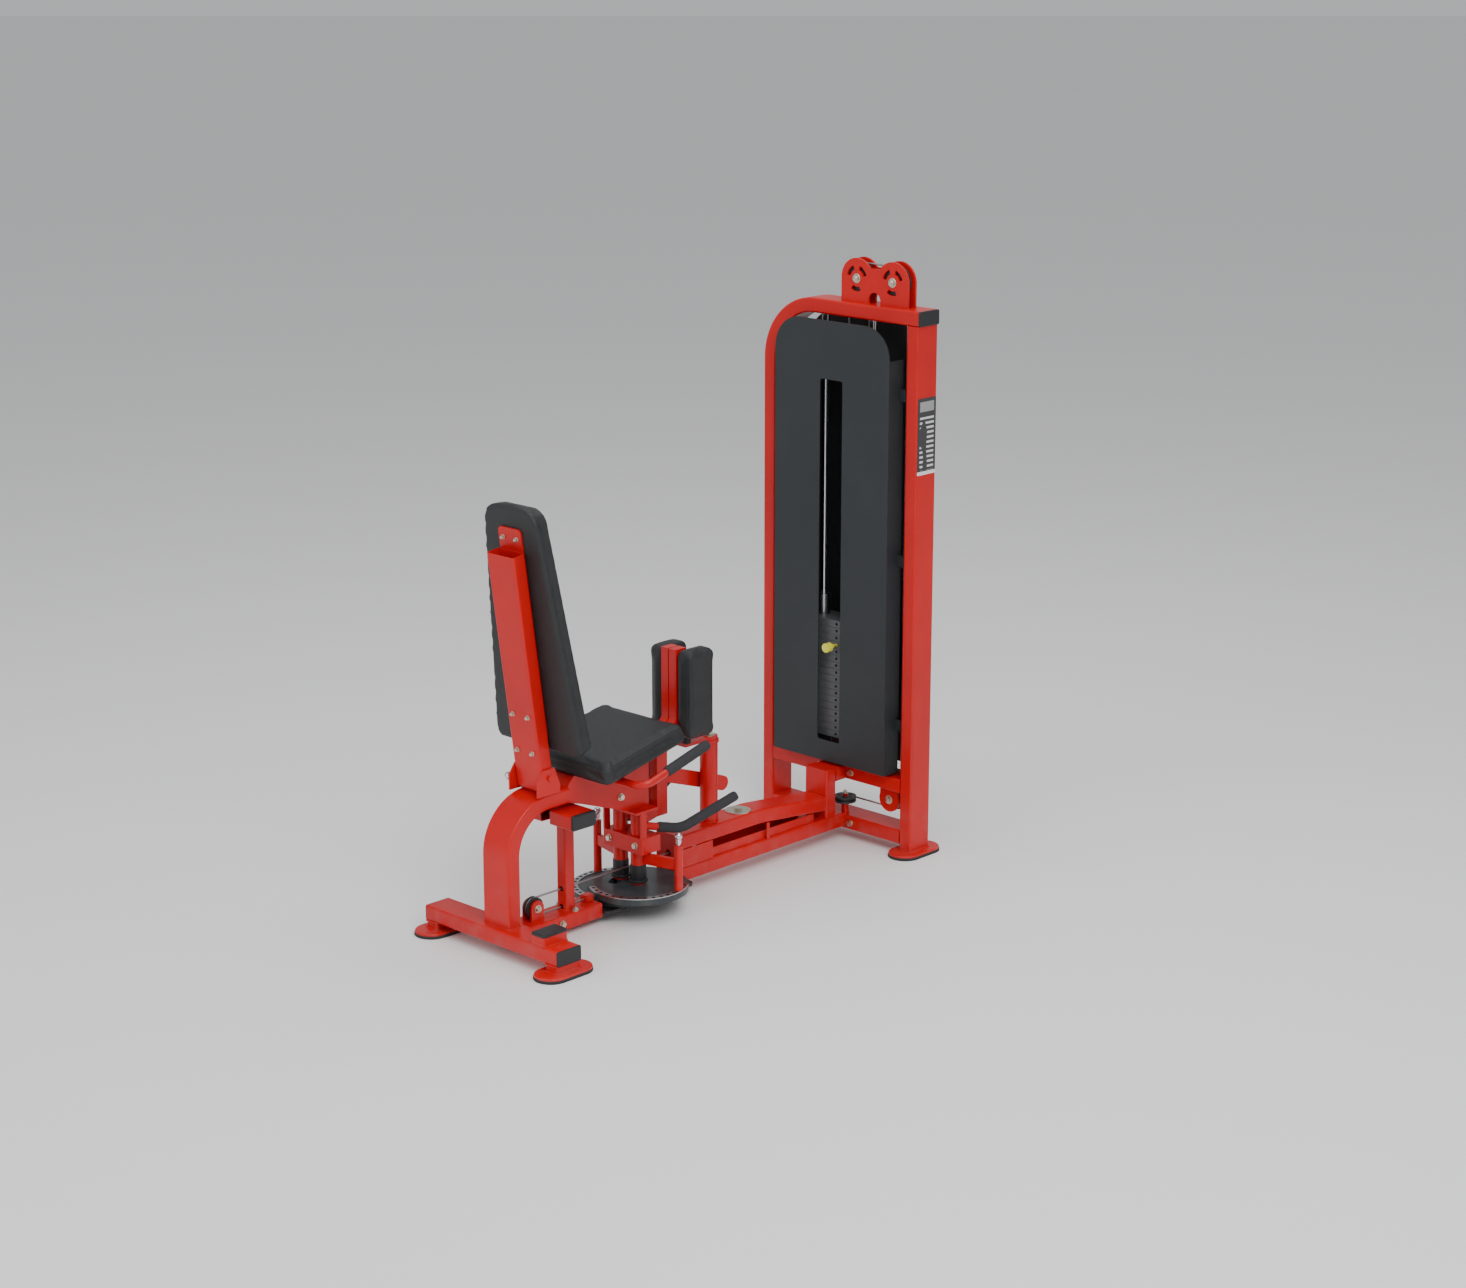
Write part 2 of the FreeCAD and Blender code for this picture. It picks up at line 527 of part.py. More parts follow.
def pulley_brackets():
    front = TOWER_Y - BRACKET_GAP
    back = TOWER_Y + BRACKET_GAP
    span = 2 * (BRACKET_GAP + PLATE) + 8
    save("top_pulley_bracket", eight_plate(front - PLATE, front), eight_plate(back, back + PLATE),
         axle((LEFT_PULLEY_X, TOWER_Y, TOP_PULLEY_Z), (0, 1, 0), 2 * BRACKET_GAP),
         axle((RIGHT_PULLEY_X, TOWER_Y, TOP_PULLEY_Z), (0, 1, 0), 2 * BRACKET_GAP))
    # round cheek plates either side of the lower pulley, hung under the mid crossbar
    cheeks = []
    for y0, y1 in ((front - PLATE, front), (back, back + PLATE)):
        x = LOWER_PULLEY_X
        cheek = rod(MID_BAR_Z - LOWER_PULLEY_Z, (x, y0, LOWER_PULLEY_Z), (x, y1, LOWER_PULLEY_Z))
        cheek = cheek.fuse(box(x - 40, x + 40, y0, y1, LOWER_PULLEY_Z, MID_BAR_Z))
        cheeks.append(cheek.removeSplitter())
    lower_axle = axle((LOWER_PULLEY_X, TOWER_Y, LOWER_PULLEY_Z), (0, 1, 0), 2 * BRACKET_GAP)
    # the turning pulley stands on a post on the base crossbar
    turn_axle = rod(AXLE_R, (TURN_X, TURN_Y, BASE_BAR_Z + TUBE_THIN + 6),
                    (TURN_X, TURN_Y, CABLE_Z + PULLEY_THICK / 2 + 8))
    turn_base = rod(15.0, (TURN_X, TURN_Y, BASE_BAR_Z + TUBE_THIN),
                    (TURN_X, TURN_Y, BASE_BAR_Z + TUBE_THIN + 6))
    turn_hub = rod(13.0, (TURN_X, TURN_Y, BASE_BAR_Z + TUBE_THIN + 6),
                   (TURN_X, TURN_Y, CABLE_Z - PULLEY_THICK / 2 - 1))
    # two cheeks on the rear spine hold the rear pulley
    ears = []
    for sign in (-1, 1):
        x0, x1 = sorted((sign * BRACKET_GAP, sign * (BRACKET_GAP + PLATE)))
        ear = rod(26.0, (x0, REAR_PULLEY_Y, REAR_PULLEY_Z), (x1, REAR_PULLEY_Y, REAR_PULLEY_Z))
        ear = ear.fuse(box(x0, x1, REAR_PULLEY_Y - 26, REAR_PULLEY_Y + 26, SPINE_Z + TUBE_THIN,
                           REAR_PULLEY_Z))
        ears.append(ear.removeSplitter())
    rear_axle = axle((0, REAR_PULLEY_Y, REAR_PULLEY_Z), (1, 0, 0), 2 * BRACKET_GAP)
    spine_top = SPINE_Z + TUBE_THIN
    clamp = box(-14, 14, ANCHOR_Y, ANCHOR_Y + 32, spine_top, spine_top + 24)
    save("low_pulley_brackets", *cheeks, lower_axle, turn_axle.fuse([turn_base, turn_hub]), *ears,
         rear_axle, round_edges(clamp, 3.0, (0, 1, 0)))


def cables():
    """The steel cable on its real route, and the drop above the stack that shortens."""
    stack_top = STACK_FLOOR + PLATE_COUNT * STACK_PITCH + 70.0
    drop_top = TOP_PULLEY_Z
    save("cable_drop", rod(CABLE_R, (0, TOWER_Y, stack_top), (0, TOWER_Y, drop_top)))
    over = TOP_PULLEY_Z + GROOVE_R
    join_z, join_y = 1000.0, 400.0
    upper = round_tube([(0, TOWER_Y, drop_top), (0, TOWER_Y, over), (DOWN_X, TOWER_Y, over),
                        (DOWN_X, TOWER_Y, join_z)], CABLE_R, GROOVE_R)
    turned = round_tube([(DOWN_X, TOWER_Y, join_z), (DOWN_X, TOWER_Y, CABLE_Z), (0, TOWER_Y, CABLE_Z),
                         (0, join_y, CABLE_Z)], CABLE_R, SMALL_GROOVE_R)
    rear_low = CABLE_Z - 2 * REAR_GROOVE_R
    behind = REAR_PULLEY_Y - REAR_GROOVE_R
    returned = round_tube([(0, join_y, CABLE_Z), (0, behind, CABLE_Z), (0, behind, rear_low),
                           (0, ANCHOR_Y, rear_low)], CABLE_R, REAR_GROOVE_R)
    save("main_cable", upper, turned, returned)


# ---------------------------------------------------------------- main beam
def main_beam():
    across = (1, 0, 0)
    middle = LOWER_RAIL_Z + TUBE_THIN / 2
    save("lower_rail", frame_tube([(0, BEAM_REAR, middle), (0, TOWER_BACK, middle)],
                                  across, TUBE_DEEP, TUBE_THIN))
    high = UPPER_RAIL_Z + TUBE_THIN / 2
    upper = frame_tube([(0, BEAM_REAR, high), (0, 330, high), (0, BEAM_FRONT, high - 33)],
                       across, TUBE_DEEP, TUBE_THIN, 400.0)
    # the cable enters the sloping rail through a slot in its underside
    upper = upper.cut(box(-60, 60, BEAM_FRONT, BEAM_FRONT + 20, 100, 200))
    upper = upper.cut(box(-CABLE_HOLE_R, CABLE_HOLE_R, 410, BEAM_FRONT - 40, CABLE_Z - 20, CABLE_Z + 12))
    save("upper_rail", upper)
    # end column and tie to the mid crossbar, and the plates that close the web
    column = box(-50, 50, BEAM_FRONT, BEAM_FRONT + 50, LOWER_RAIL_Z + TUBE_THIN, MID_BAR_TOP)
    column = round_edges(column, TUBE_CORNER, (0, 0, 1))
    column = column.cut(box(-44, 44, BEAM_FRONT + 3, BEAM_FRONT + 47, LOWER_RAIL_Z + TUBE_THIN - 1,
                            MID_BAR_TOP - 3))
    window = box(-20, 20, BEAM_FRONT - 1, BEAM_FRONT + 51, CABLE_Z - 20, CABLE_Z + 20)
    column = column.cut(window)
    tie = frame_tube([(0, BEAM_FRONT + 50, MID_BAR_Z + 25), (0, TOWER_BACK, MID_BAR_Z + 25)],
                     across, TUBE_DEEP, TUBE_THIN)
    rail_top, rail_under = LOWER_RAIL_Z + TUBE_THIN, UPPER_RAIL_Z
    webs = []
    for sign in (-1, 1):
        x0, x1 = sorted((sign * 50, sign * 46))
        webs.append(box(x0, x1, BEAM_REAR, 91, rail_top, rail_under))
        webs.append(box(x0, x1, 352, 366, rail_top, rail_under - 5))
    rear = box(-55, 55, BEAM_REAR - PLATE, BEAM_REAR, BASE_PLATE_Z + 10, UPPER_RAIL_Z + TUBE_THIN)
    rear = rear.cut(rod(CABLE_HOLE_R, (0, BEAM_REAR - PLATE - 1, CABLE_Z), (0, BEAM_REAR + 1, CABLE_Z)))
    save("beam_end_column", column, tie)
    tray = [box(-38, -35, 100, 600, rail_top + 2, rail_top + 30), box(35, 38, 100, 600, rail_top + 2,
                                                                    rail_top + 30)]
    floor = box(-38, 38, 100, 600, rail_top, rail_top + 2)
    save("beam_web_plates", rear, *webs, tray[0].fuse([tray[1], floor]).removeSplitter())


# ---------------------------------------------------------------- rear frame
REAR_BAR_TOP = 89.0
REAR_BAR_Z = REAR_BAR_TOP - TUBE_THIN / 2
REAR_LEG_X = REAR_WIDTH / 2 - TUBE_THIN / 2
CROSSBAR_FRONT = REAR_Y + TUBE_DEEP / 2
STUB_X = 217.0
STUB_WIDTH = 60.0
STUB_TOP = 118.0
POST_Y = REAR_Y + 3.0                   # centre line of the curved post
POST_TOP = 490.0
POST_BEND = 155.0                       # centre-line radius
SEAT_POST = 42.0
SEAT_POST_Y = -526.0
CROSS_TUBE_X = 118.0
CROSS_TUBE_Y = -560.0
CROSS_TUBE_Z = 398.0


def rear_frame():
    save("rear_crossbar",
         frame_tube([(-REAR_WIDTH / 2, REAR_Y, REAR_BAR_Z), (REAR_WIDTH / 2, REAR_Y, REAR_BAR_Z)],
                    (0, 1, 0), TUBE_DEEP, TUBE_THIN),
         *[frame_tube([(x, REAR_Y, FLOOR_TOP), (x, REAR_Y, REAR_BAR_TOP - TUBE_THIN)],
                      (0, 1, 0), TUBE_DEEP, TUBE_THIN) for x in (-REAR_LEG_X, REAR_LEG_X)])
    save("stub_post", frame_tube([(STUB_X, REAR_Y, REAR_BAR_TOP), (STUB_X, REAR_Y, STUB_TOP)],
                                 (1, 0, 0), STUB_WIDTH, TUBE_DEEP))
    centre_z = POST_TOP - TUBE_THIN / 2
    save("curved_post", frame_tube([(0, POST_Y, REAR_BAR_TOP), (0, POST_Y, centre_z),
                                    (0, -560, centre_z)], (1, 0, 0), WIDE_TUBE, TUBE_THIN, POST_BEND))
    middle = SPINE_Z + TUBE_THIN / 2
    save("rear_spine", frame_tube([(0, CROSSBAR_FRONT, middle), (0, CABLE_END_Y + 6, middle)],
                                  (1, 0, 0), TUBE_DEEP, TUBE_THIN))


def feet():
    places = [(LEG_X, TOWER_Y), (-LEG_X, TOWER_Y), (REAR_LEG_X, REAR_Y), (-REAR_LEG_X, REAR_Y)]
    save("foot_plates", *[stadium(x, y, FOOT_WIDTH - 4, FOOT_LENGTH - 4, FOOT_RUBBER, FLOOR_TOP, 2.5)
                          for x, y in places])
    save("foot_rubbers", *[stadium(x, y, FOOT_WIDTH, FOOT_LENGTH, 0, FOOT_RUBBER, 2.0)
                           for x, y in places])


# ---------------------------------------------------------------- seat
FRAME_HALF = TUBE_DEEP / 2
FRAME_FRONT = -205.0
POST_END = -560.0                       # the curved post ends at the seat frame
HEAD_Z = 342.0                          # underside of the plate that holds the shafts' tops
HEAD_TOP = HEAD_Z + PLATE
SEAT_SLOPE = math.tan(math.radians(SEAT_TILT))


def seat_under(y, drop=0.0):
    """Height of the seat pad's underside at y."""
    thick = SEAT_THICK / math.cos(math.radians(SEAT_TILT))
    return SEAT_FRONT_Z - thick - (SEAT_FRONT_Y - y) * SEAT_SLOPE - drop


def seat_frame_outline(inset=0.0):
    """Side profile of the seat frame: under the pad on top, sloping to the pivots below."""
    top = 1.0 + inset * 1.02
    low = inset * 1.1
    return [(POST_END + inset, POST_TOP - inset), (POST_END + inset, POST_TOP - TUBE_THIN + low),
            (-495, 420 + low), (-300, HEAD_TOP + low), (FRAME_FRONT - inset, HEAD_TOP + low),
            (FRAME_FRONT - inset, seat_under(FRAME_FRONT - inset, top)), (-534, seat_under(-534, top))]


def seat_parts():
    tilt = math.radians(SEAT_TILT)
    rear_y = SEAT_FRONT_Y - SEAT_LENGTH * math.cos(tilt)
    rear_z = SEAT_FRONT_Z - (SEAT_FRONT_Y - rear_y) * SEAT_SLOPE
    down = Vector(0, math.sin(tilt), -math.cos(tilt))
    front, rear = SEAT_FRONT_WIDTH / 2, SEAT_REAR_WIDTH / 2
    corners = [(front, SEAT_FRONT_Y, SEAT_FRONT_Z), (-front, SEAT_FRONT_Y, SEAT_FRONT_Z),
               (-rear, rear_y, rear_z), (rear, rear_y, rear_z)]
    pad = extrude(corners, tuple(down * SEAT_THICK))
    pad = pad.makeFillet(30.0, [e for e in pad.Edges if abs(slope_of(e, down)) > 0.999])
    save("seat_pad", pad.makeFillet(14.0, [e for e in pad.Edges if abs(slope_of(e, down)) < 0.05]))
    frame = plate_yz(seat_frame_outline(), -FRAME_HALF, FRAME_HALF)
    frame = frame.cut(plate_yz(seat_frame_outline(4.0), -FRAME_HALF + 4, FRAME_HALF - 4))
    head = box(-88, 88, -300, -200, HEAD_Z, HEAD_TOP)
    save("seat_frame", frame.fuse(head).removeSplitter())


def slope_of(edge, direction):
    """Cosine between an edge, at its start, and a direction."""
    return edge.tangentAt(edge.FirstParameter).dot(direction)


def supports():
    spine_top = SPINE_Z + TUBE_THIN
    post = frame_tube([(0, SEAT_POST_Y, spine_top), (0, SEAT_POST_Y, 445)], (1, 0, 0), SEAT_POST, SEAT_POST)
    post = post.cut(plate_yz(seat_frame_outline(), -FRAME_HALF, FRAME_HALF))
    # the cable passes through the post twice, out and back
    for z in (CABLE_Z, CABLE_Z - 2 * REAR_GROOVE_R):
        post = post.cut(box(-8, 8, SEAT_POST_Y - 30, SEAT_POST_Y + 30, z - 8, z + 8))
    tubes = []
    for sign in (-1, 1):
        start = (sign * SEAT_POST / 2, CROSS_TUBE_Y, CROSS_TUBE_Z)
        end = (sign * CROSS_TUBE_X, CROSS_TUBE_Y, CROSS_TUBE_Z)
        tubes.append(frame_tube([start, end], (0, 1, 0), TUBE_DEEP, TUBE_THIN))
    save("seat_supports", post, *tubes)


# ---------------------------------------------------------------- hand grips
GRIP_ROOT_Y = -425.0
GRIP_ROOT_Z = 502.0
GRIP_TIP_Y = -140.0
GRIP_TIP_Z = 580.0
FOAM_START_Y = -325.0


def mirrored(shape):
    return shape.mirror(Vector(0, 0, 0), Vector(1, 0, 0))


def grips():
    rise = (GRIP_TIP_Z - GRIP_ROOT_Z) / (GRIP_TIP_Y - GRIP_ROOT_Y)
    root = (FRAME_HALF, GRIP_ROOT_Y, GRIP_ROOT_Z)
    corner = (GRIP_X, GRIP_ROOT_Y, GRIP_ROOT_Z)
    foam_start = (GRIP_X, FOAM_START_Y, GRIP_ROOT_Z + rise * (FOAM_START_Y - GRIP_ROOT_Y))
    tip = (GRIP_X, GRIP_TIP_Y, GRIP_TIP_Z)
    tube_end = (GRIP_X, GRIP_TIP_Y - 6, GRIP_TIP_Z - 6 * rise)
    tube = round_tube([root, corner, tube_end], GRIP_R, 45.0, GRIP_R - 2.5)
    save("grip_tubes", tube, mirrored(tube))
    foam = rod(FOAM_R, foam_start, tip).cut(rod(GRIP_R, foam_start, tube_end))
    save("grip_foams", foam, mirrored(foam))


# ---------------------------------------------------------------- centre post and stops
POST_R = 30.0
POST_AT_Y = 123.0
POST_HEAD_Z = 490.0
STOP_Z = POST_HEAD_Z
STOP_END = -5.0


def centre_post():
    floor = UPPER_RAIL_Z + TUBE_THIN
    tube = ring(POST_R, POST_R - TUBE_WALL, (0, POST_AT_Y, floor), (0, POST_AT_Y, POST_HEAD_Z - 10))
    collar = rod(POST_R + 4, (0, POST_AT_Y, POST_HEAD_Z - 10), (0, POST_AT_Y, POST_HEAD_Z))
    save("centre_post", tube.fuse(collar).removeSplitter())
    bracket = box(-20, 20, STOP_END, POST_AT_Y, STOP_Z, STOP_Z + 12)
    bracket = bracket.fuse(rod(POST_R, (0, POST_AT_Y, STOP_Z), (0, POST_AT_Y, STOP_Z + 12)))
    # sloping bar on the left side of the post
    half = 25.0
    rear, front = (-60.0, 402.0), (222.0, 306.0)
    run = math.hypot(front[0] - rear[0], front[1] - rear[1])
    uy, uz = (front[0] - rear[0]) / run, (front[1] - rear[1]) / run
    corners = [(rear[0] - uz * half, rear[1] + uy * half), (rear[0] + uz * half, rear[1] - uy * half),
               (front[0] + uz * half, front[1] - uy * half), (front[0] - uz * half, front[1] + uy * half)]
    bar = plate_yz(corners, -POST_R - 20, -POST_R)
    bar = bar.fuse(rod(half, (-POST_R - 20, *front), (-POST_R, *front)))
    save("stop_bars", bracket.removeSplitter(), bar.removeSplitter())


# ---------------------------------------------------------------- pivots and cams
BLOCK_Z0 = 203.0
BLOCK_Z1 = 257.0
BLOCK_REAR = -276.0
BLOCK_FRONT = -190.0
ARC_THICK = 3.0
ARC_INNER = CAM_R - 22.0
PIN_RING_R = CAM_R - 11.0
PIN_REST = 14.0             # degrees from +X about the right shaft
HOLE_PITCH = 10.0
PIN_R = 6.0
ARC_FROM = -121.0
ARC_TO = 39.0
PIN_TRAVEL = 8.0            # pushed down, the pin stands in a hole
PIN_TUBE_TOP = 244.0


def around(radius, degrees, z=0.0):
    """Point at a radius and an angle about the right shaft."""
    angle = math.radians(degrees)
    return (PIVOT_X + radius * math.cos(angle), PIVOT_Y + radius * math.sin(angle), z)


def sector(outer, inner, start, end, z0, z1):
    band = ring(outer, inner, (PIVOT_X, PIVOT_Y, z0), (PIVOT_X, PIVOT_Y, z1))
    steps = 8
    points = [(PIVOT_X, PIVOT_Y)]
    for i in range(steps + 1):
        x, y, _ = around(outer * 1.6, start + (end - start) * i / steps)
        points.append((x, y))
    return band.common(plate_xy(points, z0, z1))


def cam(z0):
    """Right cam: disc with a bore, a slot that clears the other shaft, and pin holes."""
    z1 = z0 + CAM_THICK
    disc = rod(CAM_R, (PIVOT_X, PIVOT_Y, z0), (PIVOT_X, PIVOT_Y, z1))
    disc = disc.makeFillet(1.5, disc.Edges)
    disc = disc.cut(rod(SHAFT_R + RUN_GAP, (PIVOT_X, PIVOT_Y, z0 - 1), (PIVOT_X, PIVOT_Y, z1 + 1)))
    reach = 2 * PIVOT_X
    clear = SHAFT_R + 3
    slot = sector(reach + clear, reach - clear, 180, 180 + CAM_SWING, z0 - 1, z1 + 1)
    for degrees in (180, 180 + CAM_SWING):
        x, y, _ = around(reach, degrees)
        slot = slot.fuse(rod(clear, (x, y, z0 - 1), (x, y, z1 + 1)))
    return disc.cut(slot)


def index_arc(z0):
    arc = sector(CAM_R - 0.5, ARC_INNER, ARC_FROM, ARC_TO, z0, z0 + ARC_THICK)
    return arc


def pin_holes(z0, z1):
    holes = []
    for k in range(-13, 3):
        x, y, _ = around(PIN_RING_R, PIN_REST + HOLE_PITCH * k)
        holes.append(rod(PIN_R + 0.6, (x, y, z0), (x, y, z1)))
    return Part.makeCompound(holes)


SLEEVE_Z = CAM_HIGH_Z + CAM_THICK + BODY_GAP
SLEEVE_TOP = 325.0
LEVER_Z = 292.0


def arm(cam_top):
    """Right arm's welded frame: sleeve, lever, upright, pin carrier, all one weldment."""
    sleeve = rod(SLEEVE_R, (PIVOT_X, PIVOT_Y, SLEEVE_Z), (PIVOT_X, PIVOT_Y, SLEEVE_TOP))
    inner, outer = ARM_PLAY, ARM_PLAY + ARM_THICK
    lever = plate_xy([(PIVOT_X - 20, PIVOT_Y), (inner, -165), (inner, -104), (outer, -104), (outer, -150),
                      (PIVOT_X + 20, PIVOT_Y + 6)], LEVER_Z, SLEEVE_TOP)
    low, high = -150.0, -62.0
    upright = plate_yz([(low, LEVER_Z), (low + ARM_DEPTH, LEVER_Z), (low + ARM_DEPTH, 500),
                        (high + ARM_DEPTH, 600), (high + ARM_DEPTH, 833), (high, 833), (high, 600),
                        (low, 500)], inner, outer)
    x, y, _ = around(PIN_RING_R, PIN_REST)
    tube = rod(13.5, (x, y, cam_top + ARC_THICK + BODY_GAP), (x, y, PIN_TUBE_TOP))
    beam = box(0, PIN_RING_R, -7, 7, 162, 198)
    beam.rotate(Vector(0, 0, 0), Vector(0, 0, 1), PIN_REST)
    beam.translate(Vector(PIVOT_X, PIVOT_Y, 0))
    frame = sleeve.fuse([lever, upright, tube, beam])
    frame = frame.cut(rod(SHAFT_R + RUN_GAP, (PIVOT_X, PIVOT_Y, cam_top), (PIVOT_X, PIVOT_Y, HEAD_Z)))
    return frame.cut(rod(PIN_R + 0.5, (x, y, cam_top), (x, y, 250))).removeSplitter()


def index_pin(cam_top):
    x, y, _ = around(PIN_RING_R, PIN_REST)
    tip = cam_top + ARC_THICK + BODY_GAP
    collar_z = PIN_TUBE_TOP + PIN_TRAVEL + 1
    shank = rod(PIN_R, (x, y, tip), (x, y, collar_z + 14))
    collar = rod(9.0, (x, y, collar_z), (x, y, collar_z + 14))
    knob = Part.makeSphere(12.5, Vector(x, y, collar_z + 23))
    return shank.fuse([collar, knob]).removeSplitter()


def foot_bar():
    path = [(PIVOT_X + 16, PIVOT_Y + 16, 286), (104, -112, 260), (150, 96, 334)]
    rear, corner = Vector(*path[0]), Vector(*path[1])
    foam_path = [tuple(rear + (corner - rear) * 0.34), path[1], path[2]]
    tube = round_tube(path, GRIP_R, 110.0)
    foam = round_tube(foam_path, FOAM_R, 110.0)
    return tube, foam


def thigh_pad():
    x0 = ARM_PLAY + ARM_THICK + 0.5
    pad = box(x0, x0 + PAD_THICK, -62, -62 + PAD_DEPTH, PAD_BOTTOM, PAD_BOTTOM + PAD_HEIGHT)
    pad = round_edges(pad, 24.0, (1, 0, 0))
    return pad.makeFillet(10.0, [e for e in pad.Edges if e.BoundBox.XLength < 1e-6])


def pivots():
    for side, z0, turned in (("right", CAM_HIGH_Z, lambda s: s), ("left", CAM_LOW_Z, mirrored)):
        z1 = z0 + CAM_THICK
        holes = pin_holes(z1 - 8, z1 + ARC_THICK + 1)
        save(side + "_cam", turned(cam(z0).cut(holes)))
        save(side + "_index_arc", turned(index_arc(z1).cut(holes)))
        tube, foam = foot_bar()
        save(side + "_arm", turned(arm(z1).fuse(tube).removeSplitter()))
        save(side + "_foot_foam", turned(foam.cut(tube)))
        save(side + "_thigh_pad", turned(thigh_pad()))
        save(side + "_index_pin", turned(index_pin(z1)))
    shafts = []
    for x in (-PIVOT_X, PIVOT_X):
        shaft = rod(SHAFT_R, (x, PIVOT_Y, BASE_PLATE_Z + 10), (x, PIVOT_Y, HEAD_Z))
        nut_z = SLEEVE_TOP + BODY_GAP
        nut = hex_bolt((x, PIVOT_Y, nut_z), (0, 0, 1), 34, HEAD_Z - nut_z - 2, 21, 2)
        shafts.append(shaft.fuse(nut).removeSplitter())
    save("pivot_shafts", *shafts)
    block = round_edges(box(-90, 90, BLOCK_REAR, BLOCK_FRONT, BLOCK_Z0, BLOCK_Z1), 5.0, (0, 0, 1))
    for sign in (-1, 1):
        block = block.cut(rod(SLEEVE_R + BODY_GAP, (sign * PIVOT_X, PIVOT_Y, BLOCK_Z0 - 1),
                              (sign * PIVOT_X, PIVOT_Y, BLOCK_Z1 + 1)))
        x0, x1 = sorted((sign * 88, sign * 80))
        block = block.fuse(box(x0, x1, BLOCK_REAR, -252, BLOCK_Z1, HEAD_Z))
    save("pivot_block", block.removeSplitter())
    base = box(-75, 75, CABLE_END_Y + 6, BEAM_REAR + 40, BASE_PLATE_Z, BASE_PLATE_Z + 10)
    save("cam_base_plate", round_edges(base, 20.0, (0, 0, 1)))


# ---------------------------------------------------------------- backrest
BACK_LEAN = Vector(0, -math.sin(math.radians(BACK_TILT)), math.cos(math.radians(BACK_TILT)))
BACK_NORMAL = Vector(0, math.cos(math.radians(BACK_TILT)), math.sin(math.radians(BACK_TILT)))
HINGE = Vector(0, BACK_HINGE_Y, BACK_HINGE_Z)
HINGE_R = 8.0
UPRIGHT_FROM = -40.0
UPRIGHT_TO = 728.0
PAD_FROM = 76.0
EAR_THICK = 6.0
PULL_ALONG = -27.0                      # the pull pin, from the hinge
PULL_OUT = -12.0
RECLINE = 20.0                          # degrees


def on_back(x, along, out):
    """Point on the backrest: along its slope from the hinge, out from the upright's middle."""
    point = HINGE + BACK_LEAN * along + BACK_NORMAL * out
    return Vector(x, point.y, point.z)


def backrest():
    upright = frame_tube([tuple(on_back(0, UPRIGHT_FROM, 0)), tuple(on_back(0, UPRIGHT_TO, 0))],
                         (1, 0, 0), WIDE_TUBE, TUBE_THIN)
    upright = upright.cut(rod(HINGE_R + RUN_GAP, (-100, HINGE.y, HINGE.z), (100, HINGE.y, HINGE.z)))
    pin = on_back(0, PULL_ALONG, PULL_OUT)
    upright = upright.cut(rod(PIN_R + 0.5, (-100, pin.y, pin.z), (0, pin.y, pin.z)))
    face = TUBE_THIN / 2
    tongue_corners = [on_back(x, along, face) for x, along in
                      ((-50, 120), (50, 120), (50, 790), (40, 800), (-40, 800), (-50, 790))]
    tongue = extrude([tuple(p) for p in tongue_corners], tuple(BACK_NORMAL * 6))
    save("back_upright", upright.fuse(tongue).removeSplitter())
    back = face + 6.5
    top, bottom = BACK_TOP_WIDTH / 2, BACK_BOTTOM_WIDTH / 2
    end = PAD_FROM + BACK_PAD_LENGTH
    corners = [on_back(x, along, back) for x, along in
               ((-bottom, PAD_FROM), (bottom, PAD_FROM), (top, end), (-top, end))]
    pad = extrude([tuple(p) for p in corners], tuple(BACK_NORMAL * BACK_PAD_THICK))

    def upright_edges(shape, low, high):
        chosen = []
        for edge in shape.Edges:
            straight = isinstance(edge.Curve, Part.Line)
            if straight and abs(edge.tangentAt(edge.FirstParameter).dot(BACK_NORMAL)) > 0.99:
                along = (edge.CenterOfMass - HINGE).dot(BACK_LEAN)
                if low < along < high:
                    chosen.append(edge)
        return chosen

    pad = pad.makeFillet(62.0, upright_edges(pad, end - 20, end + 20))
    pad = pad.makeFillet(26.0, upright_edges(pad, PAD_FROM - 20, PAD_FROM + 20))
    rims = [e for e in pad.Edges
            if abs(e.tangentAt(e.FirstParameter).dot(BACK_NORMAL)) < 0.05
            and abs((e.CenterOfMass - HINGE).dot(BACK_NORMAL) - back) > 1]
    save("back_pad", pad.makeFillet(12.0, rims))
    inner, outer = WIDE_TUBE / 2 + BODY_GAP, WIDE_TUBE / 2 + BODY_GAP + EAR_THICK
    ears = []
    for sign in (-1, 1):
        x0, x1 = sorted((sign * inner, sign * outer))
        ears.append(plate_yz([(-700, POST_TOP), (-606, POST_TOP), (-606, 516), (-628, 574),
                              (-676, 574), (-700, 540)], x0, x1))
    bracket = box(-outer, outer, -656, -606, POST_TOP, POST_TOP + 6).fuse(ears)
    # curved slot in the left ear, along the pull pin's path
    steps = 8
    for i in range(steps + 1):
        hole = rod(PIN_R + 0.6, (-outer - 1, pin.y, pin.z), (-inner + 1, pin.y, pin.z))
        hole.rotate(HINGE, Vector(1, 0, 0), RECLINE * i / steps)
        bracket = bracket.cut(hole)
    hinge_pin = rod(HINGE_R, (-outer - 8, HINGE.y, HINGE.z), (outer + 8, HINGE.y, HINGE.z))
    save("recline_bracket", bracket.fuse(hinge_pin).removeSplitter())
    # the pull pin goes through the left ear into the upright
    inner_x, ear_x = -WIDE_TUBE / 2 + 12, -outer
    shank = rod(PIN_R, (ear_x - 34, pin.y, pin.z), (inner_x, pin.y, pin.z))
    barrel = rod(11.0, (ear_x - 26, pin.y, pin.z), (ear_x - BODY_GAP, pin.y, pin.z))
    ball = Part.makeSphere(13.0, Vector(ear_x - 44, pin.y, pin.z), Vector(1, 0, 0))
    save("recline_pin", shank.fuse([barrel, ball]).removeSplitter())


